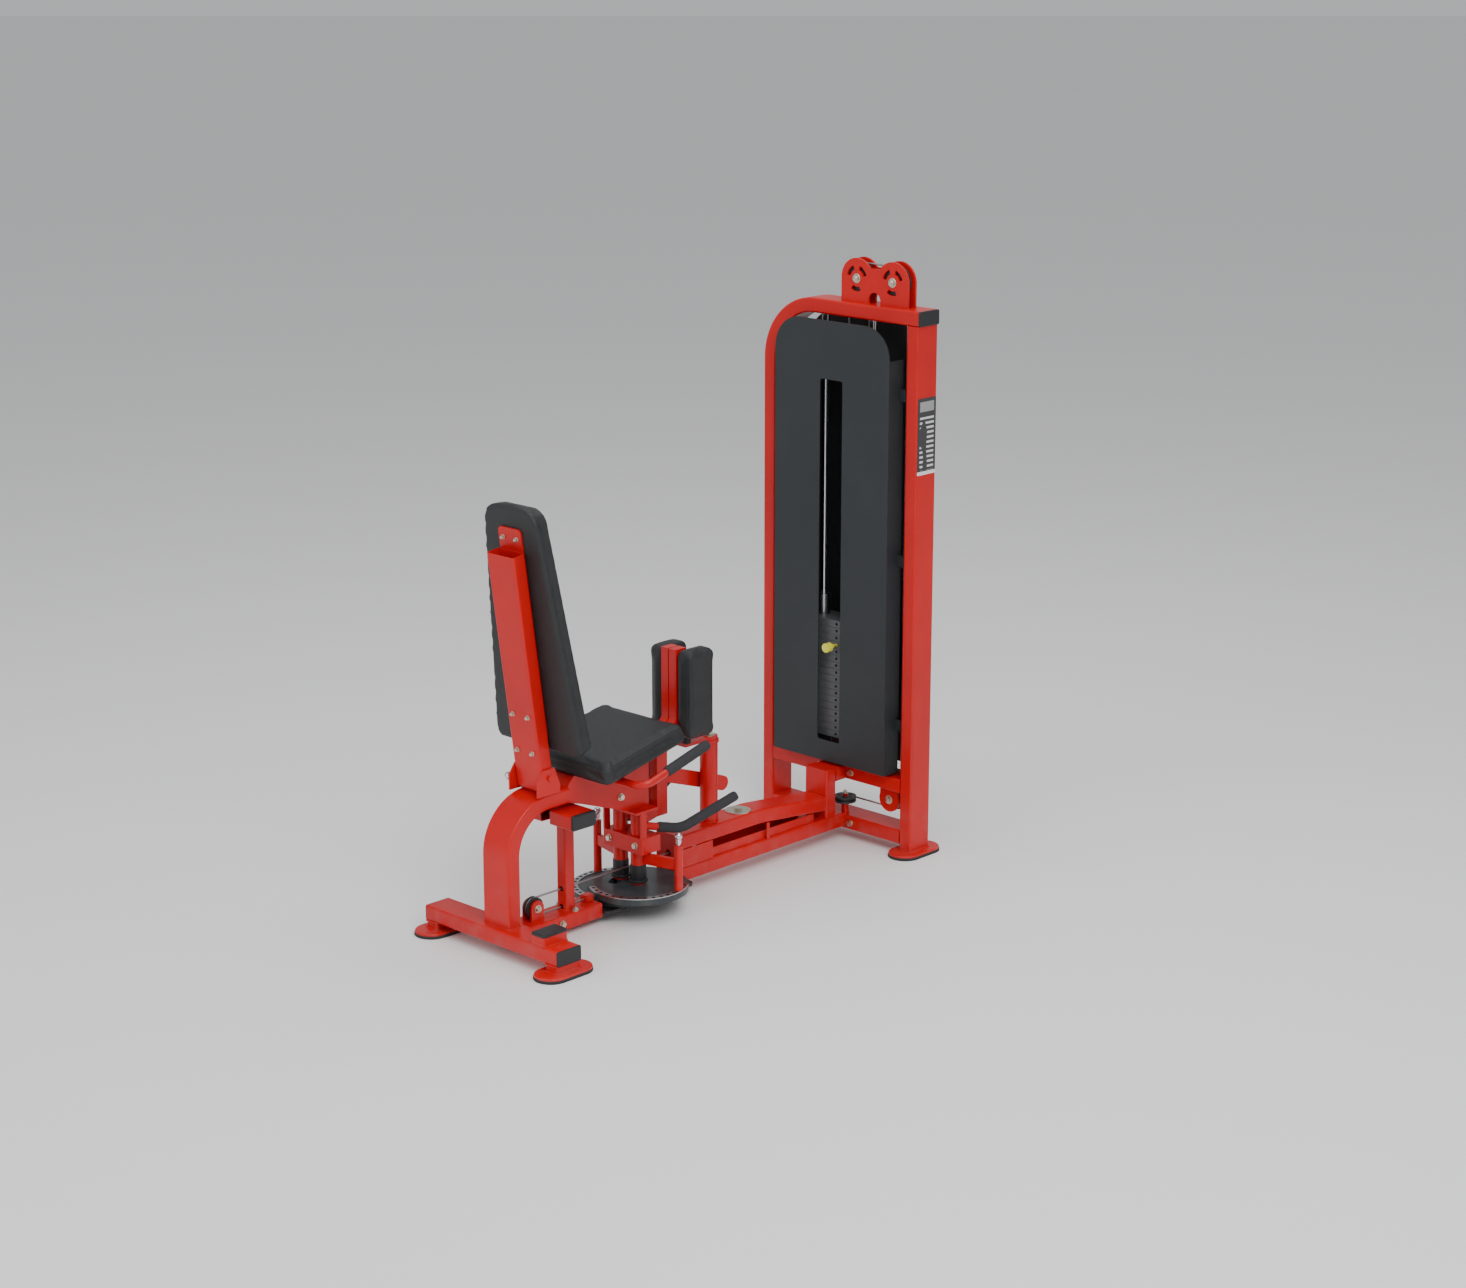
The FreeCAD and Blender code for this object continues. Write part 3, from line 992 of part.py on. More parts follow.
# ---------------------------------------------------------------- fasteners
def fasteners():
    bolts = []
    for x in (-72, 72):
        for z in (BASE_BAR_Z + 25, MID_BAR_Z + 25):
            bolts.append(hex_bolt((x, TOWER_BACK, z), (0, -1, 0), 18, 9, 12))
    spine_top = SPINE_Z + TUBE_THIN
    bolts.append(hex_bolt((36, -523, spine_top), (0, 0, 1), 17, 8, 12))
    bolts.append(hex_bolt((-36, -523, spine_top), (0, 0, 1), 17, 8, 12))
    for sign in (-1, 1):
        bolts.append(hex_bolt((sign * FRAME_HALF, -590, SPINE_Z + 25), (sign, 0, 0), 17, 8, 12))
        bolts.append(hex_bolt((sign * 60, BLOCK_REAR, BLOCK_Z0 + 27), (0, -1, 0), 16, 8, 11))
        bolts.append(hex_bolt((sign * FRAME_HALF, -330, 405), (sign, 0, 0), 17, 8, 12))
    bolts.append(hex_bolt((0, POST_AT_Y, STOP_Z + 12), (0, 0, 1), 24, 13, 22, 3))
    slope_top = UPPER_RAIL_Z + TUBE_THIN
    bolts.append(hex_bolt((0, 262, slope_top), (0, 0, 1), 24, 8, 44, 3))
    save("frame_fasteners", *bolts)


def build():
    tower()
    end_caps()
    shrouds()
    weight_stack()
    rubber_bumpers()
    pulleys()
    pulley_brackets()
    cables()
    main_beam()
    rear_frame()
    feet()
    seat_parts()
    supports()
    grips()
    centre_post()
    pivots()
    backrest()
    fasteners()


os.makedirs("parts", exist_ok=True)
build()
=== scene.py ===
# %% [markdown]
# # Hip abductor machine
# The machine is a imported CAD frame of painted tube, sheet, discs and pulleys. Blender adds what CAD
# leaves out: cushions, foam sleeves, weld beads, bolts and the finish of every surface. The frame is loaded
# first. Nothing added may change the machine's size.

# %% Load the frame
import json
import math

import bpy
import numpy as np
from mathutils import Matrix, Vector

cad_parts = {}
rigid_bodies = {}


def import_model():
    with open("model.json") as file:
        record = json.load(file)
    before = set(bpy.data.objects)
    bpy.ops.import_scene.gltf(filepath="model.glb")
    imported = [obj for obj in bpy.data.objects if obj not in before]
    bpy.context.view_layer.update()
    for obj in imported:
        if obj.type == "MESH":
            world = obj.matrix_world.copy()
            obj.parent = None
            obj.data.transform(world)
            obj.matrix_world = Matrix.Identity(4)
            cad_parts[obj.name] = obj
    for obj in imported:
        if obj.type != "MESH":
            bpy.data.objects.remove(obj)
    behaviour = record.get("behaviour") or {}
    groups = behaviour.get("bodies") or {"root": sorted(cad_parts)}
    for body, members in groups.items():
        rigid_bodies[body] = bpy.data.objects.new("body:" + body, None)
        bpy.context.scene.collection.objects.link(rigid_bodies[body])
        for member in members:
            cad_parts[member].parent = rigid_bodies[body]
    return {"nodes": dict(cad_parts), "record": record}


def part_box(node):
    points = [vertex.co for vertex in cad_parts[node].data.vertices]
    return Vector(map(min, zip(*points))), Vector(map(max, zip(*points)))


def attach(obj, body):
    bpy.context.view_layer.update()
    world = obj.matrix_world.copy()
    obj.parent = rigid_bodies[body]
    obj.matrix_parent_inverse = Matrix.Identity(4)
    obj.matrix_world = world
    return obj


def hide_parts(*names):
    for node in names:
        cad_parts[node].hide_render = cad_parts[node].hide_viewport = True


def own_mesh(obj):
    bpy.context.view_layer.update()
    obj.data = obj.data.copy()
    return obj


bpy.ops.object.select_all(action="SELECT")
bpy.ops.object.delete()
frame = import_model()
bpy.ops.object.select_all(action="DESELECT")
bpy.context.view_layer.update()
nodes = frame["nodes"]
slots = {s["node"]: s["material_slot"] for s in frame["record"]["subparts"]}

# %% [markdown]
# ## Camera
# The photograph was fitted with a long lens that looks from the user's right and behind, a little
# down. Its place and its lens come from that fit, and the turn and the tilt aim it, so the picture
# can be compared with the photograph line by line.

# %% Camera
camera_place = (6.4976, -6.5509, 3.3226)
turn, tilt = math.radians(43.74), math.radians(15.09)
back = Vector((math.sin(turn) * math.cos(tilt), -math.cos(turn) * math.cos(tilt), math.sin(tilt)))
bpy.ops.object.camera_add(location=camera_place)
camera = bpy.context.object
camera.rotation_euler = back.to_track_quat("Z", "Y").to_euler()
camera.data.lens = 72.64
camera.data.sensor_width = 36.0
camera.data.clip_end = 60.0
bpy.context.scene.camera = camera
print("camera", tuple(round(v, 3) for v in camera.location))

# %% [markdown]
# ## Shader helper
# A procedural finish is arithmetic on noise. The small class below lets sockets be added and
# multiplied as numbers are, and one method makes every other kind of node, so each finish reads as
# a few lines.


# %% Shader helper
class Value:
    """A node socket that can be used in arithmetic."""

    def __init__(self, tree, socket):
        self.tree, self.socket = tree, socket

    def math(self, operation, *others):
        node = self.tree.nodes.new("ShaderNodeMath")
        node.operation = operation
        for slot, item in enumerate((self, *others)):
            if isinstance(item, Value):
                self.tree.links.new(item.socket, node.inputs[slot])
            else:
                node.inputs[slot].default_value = item
        return Value(self.tree, node.outputs[0])

    def __add__(self, other):
        return self.math("ADD", other)

    def __mul__(self, other):
        return self.math("MULTIPLY", other)

    def __rsub__(self, other):
        return (self * -1.0) + other

    def above(self, limit):
        return self.math("GREATER_THAN", limit)

    def ramp(self, low, high):
        """0 at low, 1 at high, held between."""
        node = self.tree.nodes.new("ShaderNodeMapRange")
        node.inputs["From Min"].default_value = low
        node.inputs["From Max"].default_value = high
        self.tree.links.new(self.socket, node.inputs["Value"])
        return Value(self.tree, node.outputs[0])


class Finish:
    """One material, built on Object coordinates."""

    def __init__(self, name, color, roughness, metallic=0.0, coat=0.0):
        self.material = bpy.data.materials.new(name)
        self.material.use_nodes = True
        self.tree = self.material.node_tree
        self.shader = self.tree.nodes["Principled BSDF"]
        self.place = self.make("ShaderNodeTexCoord", "Object")
        self.shader.inputs["Base Color"].default_value = (*color, 1.0)
        self.shader.inputs["Roughness"].default_value = roughness
        self.shader.inputs["Metallic"].default_value = metallic
        self.shader.inputs["Coat Weight"].default_value = coat
        self.shader.inputs["Coat Roughness"].default_value = 0.12
        self.shader.inputs["Specular IOR Level"].default_value = 0.35
        self.material.diffuse_color = (*color, 1.0)

    def make(self, kind, output, **inputs):
        node = self.tree.nodes.new(kind)
        for name, item in inputs.items():
            socket = node.inputs[name.replace("_", " ")]
            if isinstance(item, Value):
                self.tree.links.new(item.socket, socket)
            else:
                socket.default_value = item
        return Value(self.tree, node.outputs[output])

    def noise(self, scale, detail=2.0, stretch=None):
        place = self.place
        if stretch:
            place = self.make("ShaderNodeMapping", "Vector", Vector=place, Scale=stretch)
        return self.make("ShaderNodeTexNoise", "Fac", Vector=place, Scale=scale, Detail=detail)

    def axes(self):
        node = self.tree.nodes.new("ShaderNodeSeparateXYZ")
        self.tree.links.new(self.place.socket, node.inputs[0])
        return [Value(self.tree, output) for output in node.outputs]

    def mix(self, amount, first, second):
        node = self.tree.nodes.new("ShaderNodeMix")
        node.data_type = "RGBA"
        self.tree.links.new(amount.socket, node.inputs["Factor"])
        for socket, item in ((node.inputs["A"], first), (node.inputs["B"], second)):
            sockets = [s for s in node.inputs if s.name == socket.name and s.type == "RGBA"]
            if isinstance(item, Value):
                self.tree.links.new(item.socket, sockets[0])
            else:
                sockets[0].default_value = (*item, 1.0)
        color = [s for s in node.outputs if s.type == "RGBA"][0]
        return Value(self.tree, color)

    def put(self, name, value):
        self.tree.links.new(value.socket, self.shader.inputs[name])

    def bump(self, height, distance):
        node = self.tree.nodes.new("ShaderNodeBump")
        node.inputs["Strength"].default_value = 1.0
        node.inputs["Distance"].default_value = distance
        self.tree.links.new(height.socket, node.inputs["Height"])
        self.tree.links.new(node.outputs[0], self.shader.inputs["Normal"])


# %% [markdown]
# ## Painted metal
# The frame is powder coated: a glossy skin with a faint orange peel, a little uneven in tone, and
# dusty near the floor. The black parts are satin, and the shroud has a fine grain that breaks up
# its reflections.


# %% Painted metal
def painted(name, color, roughness, coat, peel, grain=260.0):
    finish = Finish(name, color, roughness, 0.0, coat)
    cloud = finish.noise(3.0, 4.0)
    deep = tuple(c * 0.80 for c in color)
    tone = finish.mix(cloud.ramp(0.3, 0.7), deep, color)
    height = finish.axes()[2]
    dust = (height * -1.0 + 0.30).ramp(0.0, 0.30) * finish.noise(22.0, 5.0).ramp(0.45, 0.75) * 0.16
    finish.put("Base Color", finish.mix(dust, tone, (0.32, 0.29, 0.26)))
    finish.put("Roughness", finish.noise(14.0, 5.0) * 0.10 + (roughness - 0.05) + dust * 0.8)
    finish.bump(finish.noise(grain, 2.0), peel)
    return finish.material


materials = {
    "red": painted("red powder coat", (0.62, 0.002, 0.002), 0.36, 0.10, 0.00025),
    "black_paint": painted("satin black paint", (0.022, 0.022, 0.024), 0.40, 0.1, 0.0003),
    "disc_paint": painted("dark disc paint", (0.035, 0.045, 0.050), 0.38, 0.15, 0.0003),
    "shroud": painted("grained shroud paint", (0.026, 0.031, 0.034), 0.46, 0.0, 0.0007, 700.0),
    "plate_iron": painted("painted iron plate", (0.11, 0.115, 0.12), 0.45, 0.05, 0.0008, 320.0),
}
print("painted", len(materials))

# %% [markdown]
# ## Bare metal, plastic and rubber
# Chrome is nearly a mirror with faint wiping marks. Steel is brushed: noise stretched along one axis,
# and zinc has the same noise unstretched. Plastics are smooth and slightly mottled, and foam and rubber
# are dull and pitted.


# %% Bare metal, plastic and rubber
def metal(name, color, roughness, stretch):
    finish = Finish(name, color, roughness, 1.0)
    lines = finish.noise(60.0, 3.0, stretch)
    finish.put("Roughness", lines * 0.14 + (roughness - 0.05))
    finish.put("Base Color", finish.mix(finish.noise(8.0, 4.0), tuple(c * 0.86 for c in color), color))
    finish.bump(lines, 0.00012)
    return finish.material


def dull(name, color, roughness, scale, depth):
    finish = Finish(name, color, roughness)
    cells = finish.noise(scale, 4.0)
    finish.put("Base Color", finish.mix(cells, tuple(c * 0.7 for c in color), tuple(c * 1.25 for c in color)))
    finish.put("Roughness", finish.noise(18.0, 4.0) * 0.14 + (roughness - 0.07))
    finish.bump(cells, depth)
    return finish.material


materials["guide_chrome"] = metal("guide rod chrome", (0.62, 0.63, 0.65), 0.14, (1.0, 1.0, 0.05))
materials["steel"] = metal("bright steel", (0.52, 0.53, 0.54), 0.28, (1.0, 0.15, 1.0))
materials["zinc"] = metal("yellowish zinc", (0.66, 0.63, 0.52), 0.30, (1.0, 1.0, 1.0))
materials["chrome"] = metal("polished chrome", (0.78, 0.78, 0.80), 0.10, (1.0, 1.0, 0.2))
materials["cable"] = metal("wire rope", (0.46, 0.46, 0.47), 0.36, (1.0, 1.0, 3.0))
materials["pulley_plastic"] = dull("moulded nylon", (0.030, 0.030, 0.033), 0.45, 240.0, 0.0002)
materials["black_plastic"] = dull("moulded cap", (0.022, 0.022, 0.024), 0.42, 260.0, 0.0002)
materials["yellow_knob"] = dull("yellow knob", (0.80, 0.78, 0.06), 0.25, 60.0, 0.0001)
materials["rubber"] = dull("foot rubber", (0.028, 0.028, 0.028), 0.72, 200.0, 0.0005)
materials["foam"] = dull("foam sleeve", (0.036, 0.036, 0.040), 0.82, 520.0, 0.0012)
print("finishes", len(materials))

# %% [markdown]
# ## Vinyl and placard
# Upholstery vinyl has a pebbled grain, which a Voronoi pattern gives, and a soft sheen that varies.
# The placard carries rows of plain bars in place of words, with a darker heading.


# %% Vinyl and placard
vinyl = Finish("black vinyl", (0.018, 0.020, 0.021), 0.42)
pebbles = vinyl.make("ShaderNodeTexVoronoi", "Distance", Vector=vinyl.place, Scale=420.0)
wrinkle = vinyl.noise(26.0, 4.0)
vinyl.put("Base Color", vinyl.mix(wrinkle, (0.015, 0.016, 0.017), (0.026, 0.029, 0.030)))
vinyl.put("Roughness", pebbles * 0.14 + wrinkle * 0.12 + 0.30)
vinyl.bump(pebbles + wrinkle * 0.8, 0.0007)
materials["upholstery"] = vinyl.material

low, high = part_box("instruction_placard")
card = Finish("placard", (0.05, 0.05, 0.052), 0.35)
_, across, along = card.axes()
edge = across.above(low.y + 0.010) * (1.0 - across.above(high.y - 0.010))
rows = ((along * 62.0).math("FRACT")).above(0.55)
gaps = card.noise(30.0, 0.0, (1.0, 1.0, 0.4)).above(0.42)
body = along.above(low.z + 0.015) * (1.0 - along.above(high.z - 0.055))
head = along.above(high.z - 0.045) * (1.0 - along.above(high.z - 0.012))
foot_band = 1.0 - along.above(low.z + 0.012)
marks = card.mix(edge * rows * gaps * body, (0.045, 0.045, 0.047), (0.62, 0.62, 0.60))
marks = card.mix(edge * head, marks, (0.30, 0.30, 0.30))
card.put("Base Color", card.mix(foot_band, marks, (0.74, 0.74, 0.72)))
card.put("Roughness", card.noise(25.0) * 0.1 + 0.30)
materials["placard"] = card.material

for name, node in nodes.items():
    node.data.materials.clear()
    node.data.materials.append(materials[slots[name]])
for side in ("right", "left"):
    print(side, "arm uses", nodes[side + "_arm"].data.materials[0].name)

# %% [markdown]
# ## Cushions
# A gym cushion is foam on a board, wrapped in vinyl that pulls tight at the edges and crowns in the
# middle. A box with round corners cannot show that, so a copy of each CAD block is remeshed evenly
# and blown up as cloth with a little pressure. Points are kept close to the block, and the seam
# between the face and the side band is then pressed in.


# %% Cushions
def copy_of(node, name):
    """A merged copy of a CAD node as a free object."""
    bpy.ops.object.select_all(action="DESELECT")
    mesh = nodes[node].data.copy()
    piece = bpy.data.objects.new(name, mesh)
    bpy.context.scene.collection.objects.link(piece)
    piece.select_set(True)
    bpy.context.view_layer.objects.active = piece
    bpy.ops.object.mode_set(mode="EDIT")
    bpy.ops.mesh.select_all(action="SELECT")
    bpy.ops.mesh.remove_doubles(threshold=0.00001)
    bpy.ops.object.mode_set(mode="OBJECT")
    return piece


def points_of(piece):
    flat = np.empty(len(piece.data.vertices) * 3)
    piece.data.vertices.foreach_get("co", flat)
    return flat.reshape(-1, 3)


def set_points(piece, points):
    piece.data.vertices.foreach_set("co", points.reshape(-1))
    piece.data.update()


def apply_modifiers(piece):
    bpy.ops.object.select_all(action="DESELECT")
    piece.select_set(True)
    bpy.context.view_layer.objects.active = piece
    bpy.ops.object.convert(target="MESH")


def away_from(points, middle, out):
    """Unit directions from the middle line, across the way the pad faces."""
    sideways = (points - middle) - np.outer((points - middle) @ out, out)
    return sideways / np.maximum(np.linalg.norm(sideways, axis=1, keepdims=True), 1e-9)


def inflate(piece, board, limit):
    """Cloth pressure for twenty frames; the side on the board stays put."""
    rest = points_of(piece)
    keep = piece.vertex_groups.new(name="board")
    out = np.array(board[1])
    depth = (rest - np.array(board[0])) @ out
    held = [int(i) for i in np.nonzero(depth < 0.012)[0]]
    keep.add(held, 1.0, "REPLACE")
    cloth = piece.modifiers.new("cloth", "CLOTH")
    cloth.settings.use_pressure = True
    cloth.settings.uniform_pressure_force = 4.0
    cloth.settings.effector_weights.gravity = 0.0
    cloth.settings.vertex_group_mass = "board"
    for number in range(1, 21):
        bpy.context.scene.frame_set(number)
    apply_modifiers(piece)
    moved = points_of(piece) - rest
    length = np.linalg.norm(moved, axis=1, keepdims=True)
    moved *= np.minimum(1.0, limit / np.maximum(length, 1e-9))
    set_points(piece, rest + moved)
    bpy.context.scene.frame_set(1)
    return float(length.max())


side_room, face_room = 0.004, 0.005
seam_width = 0.0022


def cushion(node, body, base, out, seam, voxel=0.005, limit=0.007):
    """One pad: base is a point on its board, out the way it faces, seam the band's depth."""
    piece = copy_of(node, node + "_cushion")
    out = Vector(out).normalized()
    points = points_of(piece)
    middle = (points.max(0) + points.min(0)) / 2
    depth = (points - np.array(base)) @ np.array(out)
    points = points - away_from(points, middle, np.array(out)) * side_room
    points -= np.outer(np.where(depth > depth.max() * 0.5, face_room, 0.0), np.array(out))
    set_points(piece, points)
    remesh = piece.modifiers.new("remesh", "REMESH")
    remesh.mode, remesh.voxel_size = "VOXEL", voxel
    apply_modifiers(piece)
    swell = inflate(piece, (base, out), limit)
    rounder = piece.modifiers.new("even", "SMOOTH")
    rounder.iterations = 3
    subdivide = piece.modifiers.new("fine", "SUBSURF")
    subdivide.levels = subdivide.render_levels = 1
    apply_modifiers(piece)
    points = points_of(piece)
    depth = (points - np.array(base)) @ np.array(out)
    away = away_from(points, points.mean(0), np.array(out))
    near = np.exp(-((depth - seam) / seam_width) ** 2)[:, None]
    set_points(piece, points - away * near * seam_width)
    bpy.ops.object.shade_smooth()
    piece.data.materials.clear()
    piece.data.materials.append(materials["upholstery"])
    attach(piece, body)
    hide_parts(node)
    print(node, "points", len(points), "swell mm", round(swell * 1000, 1))


lean, slope = math.radians(8.0), math.radians(9.3)
cushion("seat_pad", "root", (0.0, -0.157, 0.583), (0.0, -math.sin(slope), math.cos(slope)), 0.050)
cushion("back_pad", "backrest", (0.0, -0.621, 0.549), (0.0, math.cos(lean), math.sin(lean)), 0.052,
        0.006, 0.007)
for side, sign in (("right", 1.0), ("left", -1.0)):
    cushion(side + "_thigh_pad", side + "_arm", (sign * 0.0335, 0.0, 0.7), (sign, 0.0, 0.0), 0.048,
            0.005, 0.004)

# %% [markdown]
# ## Foam sleeves
# The hand grips and foot bars wear foam tube, closed and rounded at the free end. A path swept by a
# circle makes one, with its radius drawn in over the last centimetre and a slight waviness, as
# stretched foam has.


# %% Foam sleeves
def tube(name, points, radii):
    """A closed tube along points, with a radius at each."""
    bpy.ops.curve.primitive_nurbs_path_add()
    piece = bpy.context.object
    piece.name = name
    curve = piece.data
    curve.splines.clear()
    spline = curve.splines.new("POLY")
    spline.points.add(len(points) - 1)
    for spot, point, radius in zip(spline.points, points, radii):
        spot.co = (*point, 1.0)
        spot.radius = radius
    curve.bevel_depth = 1.0
    curve.bevel_resolution = 8
    curve.use_fill_caps = True
    bpy.ops.object.convert(target="MESH")
    bpy.ops.object.shade_smooth_by_angle(angle=math.radians(50))
    return piece


def along_path(corners, bend, step):
    """Points on straight runs joined by arcs."""
    corners = [Vector(c) for c in corners]
    found = [corners[0]]
    for before, corner, after in zip(corners, corners[1:], corners[2:]):
        into, out = (corner - before).normalized(), (after - corner).normalized()
        cut = bend * math.tan(into.angle(out) / 2)
        for i in range(9):
            t = i / 8
            a, b = corner - into * cut, corner + out * cut
            found.append(a * (1 - t) ** 2 + corner * 2 * t * (1 - t) + b * t ** 2)
    found.append(corners[-1])
    dense = [found[0]]
    for a, b in zip(found, found[1:]):
        count = max(1, int((b - a).length / step))
        dense += [a.lerp(b, (i + 1) / count) for i in range(count)]
    return dense


foam_step, foam_end = 0.004, 0.010


def foam(name, node, body, corners, bend, radius, mirror):
    """A sleeve drawn in at both ends over foam_end."""
    corners = [(x * mirror, y, z) for x, y, z in corners]
    points = along_path(corners, bend, foam_step)
    radii = []
    for i in range(len(points)):
        end = (len(points) - 1 - i) * foam_step
        start = i * foam_step
        close = min(end, start, foam_end) / foam_end
        wave = 1.0 + 0.010 * math.sin(i * 0.9) * math.sin(i * 0.23)
        radii.append(radius * wave * (0.86 + 0.14 * math.sin(close * math.pi / 2)))
    piece = tube(name, points, radii)
    piece.data.materials.append(materials["foam"])
    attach(piece, body)
    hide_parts(node)


grip_low, grip_high = 0.502, 0.580
rise = (grip_high - grip_low) / (0.425 - 0.140)
grip = [(0.250, -0.325, grip_low + rise * 0.100), (0.250, -0.140, grip_high)]
foot = [(0.0723, -0.1892, 0.2772), (0.104, -0.112, 0.260), (0.150, 0.096, 0.334)]
for side, mirror in (("right", 1.0), ("left", -1.0)):
    foam(side + "_grip_foam", "grip_foams", "root", grip, 0.05, 0.0168, mirror)
    foam(side + "_foot_sleeve", side + "_foot_foam", side + "_arm", foot, 0.11, 0.0164, mirror)
print("foam sleeves 4")

# %% [markdown]
# ## The cable above the stack
# As the plates rise, the straight run of cable above them gets shorter. A tube on the CAD cable's line
# takes the place of the CAD cable.

# %% The cable above the stack
rope_radius, tower_y, lift = 0.003, 0.800, 0.200
low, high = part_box("cable_drop")
drop = tube("cable_drop_run", [(0.0, tower_y, z) for z in (low.z, (low.z + high.z) / 2, high.z)],
            [rope_radius] * 3)
drop.data.materials.append(materials["cable"])
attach(drop, "root")
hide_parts("cable_drop")
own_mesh(drop)
print("cable drop", round(high.z - low.z, 3))

# %% [markdown]
# ## Weld beads
# Tubes meet in welds, seen as a rippled bead under the paint. A thin tube around each joint, its
# radius rising and falling every few millimetres, gives the stacked ripples.


# %% Weld beads
def bead(name, body, corners, radius=0.0032):
    corners = [Vector(c) for c in corners]
    points = [corners[0]]
    for a, b in zip(corners, corners[1:]):
        count = max(1, int((b - a).length / 0.0025))
        points += [a.lerp(b, (i + 1) / count) for i in range(count)]
    radii = [radius * (0.85 + 0.15 * math.sin(i * 1.35)) for i in range(len(points))]
    piece = tube(name, points, radii)
    piece.data.materials.append(materials["red"])
    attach(piece, body)


def loop(x, y, wide, deep, z):
    """Corners of a level loop round a tube."""
    a, b = wide / 2, deep / 2
    return [(x - a, y - b, z), (x + a, y - b, z), (x + a, y + b, z), (x - a, y + b, z), (x - a, y - b, z)]


def ring_path(x, y, z, radius):
    return [(x + radius * math.cos(t * math.pi / 12), y + radius * math.sin(t * math.pi / 12), z)
            for t in range(25)]


pivot_x, pivot_y = 0.040, -0.245
bead("post_weld", "root", loop(0.0, -0.797, 0.116, 0.046, 0.089))
bead("stub_weld", "root", loop(0.217, -0.800, 0.057, 0.097, 0.089))
bead("seat_post_weld", "root", loop(0.0, -0.526, 0.042, 0.042, 0.070))
for x in (-0.277, 0.277):
    bead("rear_leg_weld", "root", loop(x, -0.800, 0.050, 0.100, 0.039))
for x, y in ((-0.277, -0.8), (0.277, -0.8), (-0.318, 0.8), (0.318, 0.8)):
    bead("foot_weld", "root", loop(x, y, 0.050, 0.100, 0.0165))
bead("centre_post_weld", "root", ring_path(0.0, 0.123, 0.207, 0.030))
bead("column_weld", "root", [(-0.05, 0.650, 0.095), (0.05, 0.650, 0.095)])
for side, sign in (("right", 1.0), ("left", -1.0)):
    bead(side + "_sleeve_weld", side + "_arm", ring_path(sign * pivot_x, pivot_y, 0.325, 0.0215),
         radius=0.0022)
print("beads done")

# %% [markdown]
# ## Bolts and bearing boots
# Pulley axles and the back upright end in hexagon heads on washers. A six-sided cylinder with
# bevelled corners is enough for each. Below the pivot block the arms' sleeves wear black bearing
# boots, turned rings that are a little wider than the sleeve.


# %% Bolts and bearing boots
def turned(name, body, slot, centre, axis, radius, length, vertices=48, bevel=0.0012):
    """A round or six-sided piece standing on centre, along axis."""
    axis = Vector(axis).normalized()
    bpy.ops.mesh.primitive_cylinder_add(vertices=vertices, radius=radius, depth=length,
                                        location=Vector(centre) + axis * length / 2,
                                        rotation=axis.to_track_quat("Z", "Y").to_euler())
    piece = bpy.context.object
    piece.name = name
    bpy.ops.object.transform_apply(location=True, rotation=True, scale=True)
    rim = piece.modifiers.new("rim", "BEVEL")
    rim.width, rim.segments, rim.limit_method = bevel, 2, "ANGLE"
    apply_modifiers(piece)
    bpy.ops.object.shade_smooth_by_angle(angle=math.radians(32))
    piece.data.materials.append(materials[slot])
    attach(piece, body)


def bolt(name, body, centre, axis, across=0.017):
    """A washer, a hexagon head and the end of the thread."""
    washer = 0.0016
    turned(name + "_washer", body, "zinc", centre, axis, across * 0.72, washer, 40, 0.0004)
    lifted = Vector(centre) + Vector(axis).normalized() * washer
    turned(name + "_head", body, "zinc", lifted, axis, across / math.sqrt(3), 0.0075, 6, 0.0009)
    above = lifted + Vector(axis).normalized() * 0.0074
    turned(name + "_end", body, "zinc", above, axis, across * 0.30, 0.0030, 24, 0.0006)


axle_front, axle_rear, top_axle_z = 0.778, 0.822, 1.945
for x in (0.050, 0.206):
    bolt("top_axle_front", "root", (x, axle_front, top_axle_z), (0.0, -1.0, 0.0), 0.022)
    bolt("top_axle_rear", "root", (x, axle_rear, top_axle_z), (0.0, 1.0, 0.0), 0.022)
bolt("lower_axle", "root", (0.222, axle_front, 0.174), (0.0, -1.0, 0.0), 0.022)
bolt("turn_axle", "root", (0.034, 0.766, 0.158), (0.0, 0.0, 1.0), 0.014)
for side in (-1.0, 1.0):
    bolt("rear_axle", "root", (side * 0.022, -0.668, 0.110), (side, 0.0, 0.0), 0.018)


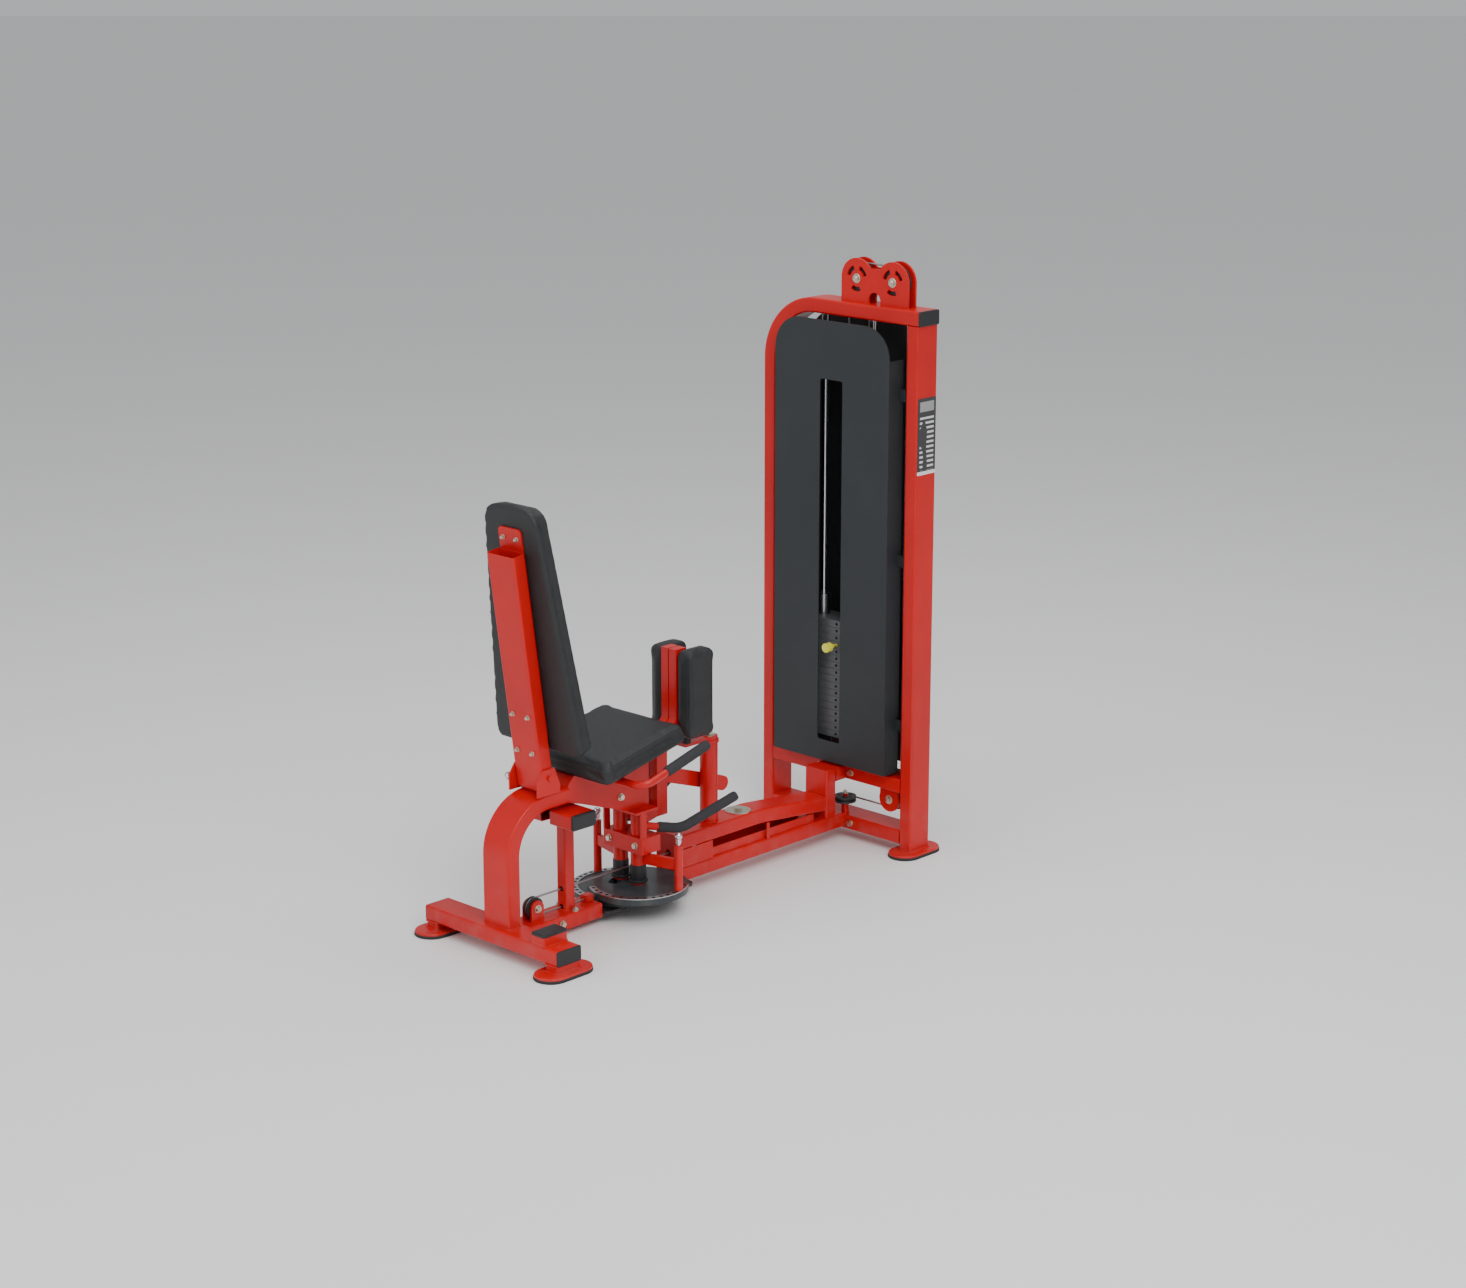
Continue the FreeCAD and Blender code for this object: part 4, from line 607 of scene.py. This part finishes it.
def on_back(x, along, out):
    """Point on the back upright: up its slope from the hinge, out from its middle."""
    return (x, -0.652 - along * math.sin(lean) + out * math.cos(lean),
            0.545 + along * math.cos(lean) + out * math.sin(lean))


to_rear = (0.0, -math.cos(lean), -math.sin(lean))
for x, along, out in ((-0.030, 0.768, 0.025), (0.030, 0.768, 0.025), (-0.034, 0.205, -0.025),
                      (0.034, 0.205, -0.025), (-0.034, 0.085, -0.025), (0.034, 0.085, -0.025)):
    bolt("back_bolt", "backrest", on_back(x, along, out), to_rear, 0.011)

for side, sign in (("right", 1.0), ("left", -1.0)):
    boot_foot, up = (sign * pivot_x, pivot_y, 0.098), (0.0, 0.0, 1.0)
    turned(side + "_boot", side + "_arm", "black_plastic", boot_foot, up, 0.0262, 0.060, 64, 0.003)
    turned(side + "_boot_rim", side + "_arm", "black_plastic", boot_foot, up, 0.031, 0.010, 64, 0.002)

# %% [markdown]
# ## Studio
# A pale floor and three large soft lights show paint and vinyl without hard shadows.

# %% Studio
bpy.ops.mesh.primitive_plane_add(size=320.0, location=(0.0, 0.0, -0.0005))
floor = bpy.context.object
floor.name = "studio_floor"
ground = Finish("pale floor", (0.88, 0.88, 0.88), 0.75)
ground.put("Roughness", ground.noise(3.0) * 0.1 + 0.68)
floor.data.materials.append(ground.material)
lamps = (("key", (5.0, -2.5, 5.5), 4.0, 300.0), ("fill", (-1.5, -6.5, 4.0), 5.0, 130.0),
         ("top", (0.5, 1.0, 6.5), 5.0, 170.0))
for name, place, size, power in lamps:
    bpy.ops.object.light_add(type="AREA", location=place)
    light = bpy.context.object
    light.name = "studio_" + name
    light.data.size = size
    light.data.energy = power
    light.rotation_euler = (Vector(place) - Vector((0.0, 0.0, 0.8))).to_track_quat("Z", "Y").to_euler()
world = bpy.data.worlds.new("studio")
bpy.context.scene.world = world
world.use_nodes = True
world.node_tree.nodes["Background"].inputs["Color"].default_value = (0.92, 0.93, 0.95, 1.0)
world.node_tree.nodes["Background"].inputs["Strength"].default_value = 0.55
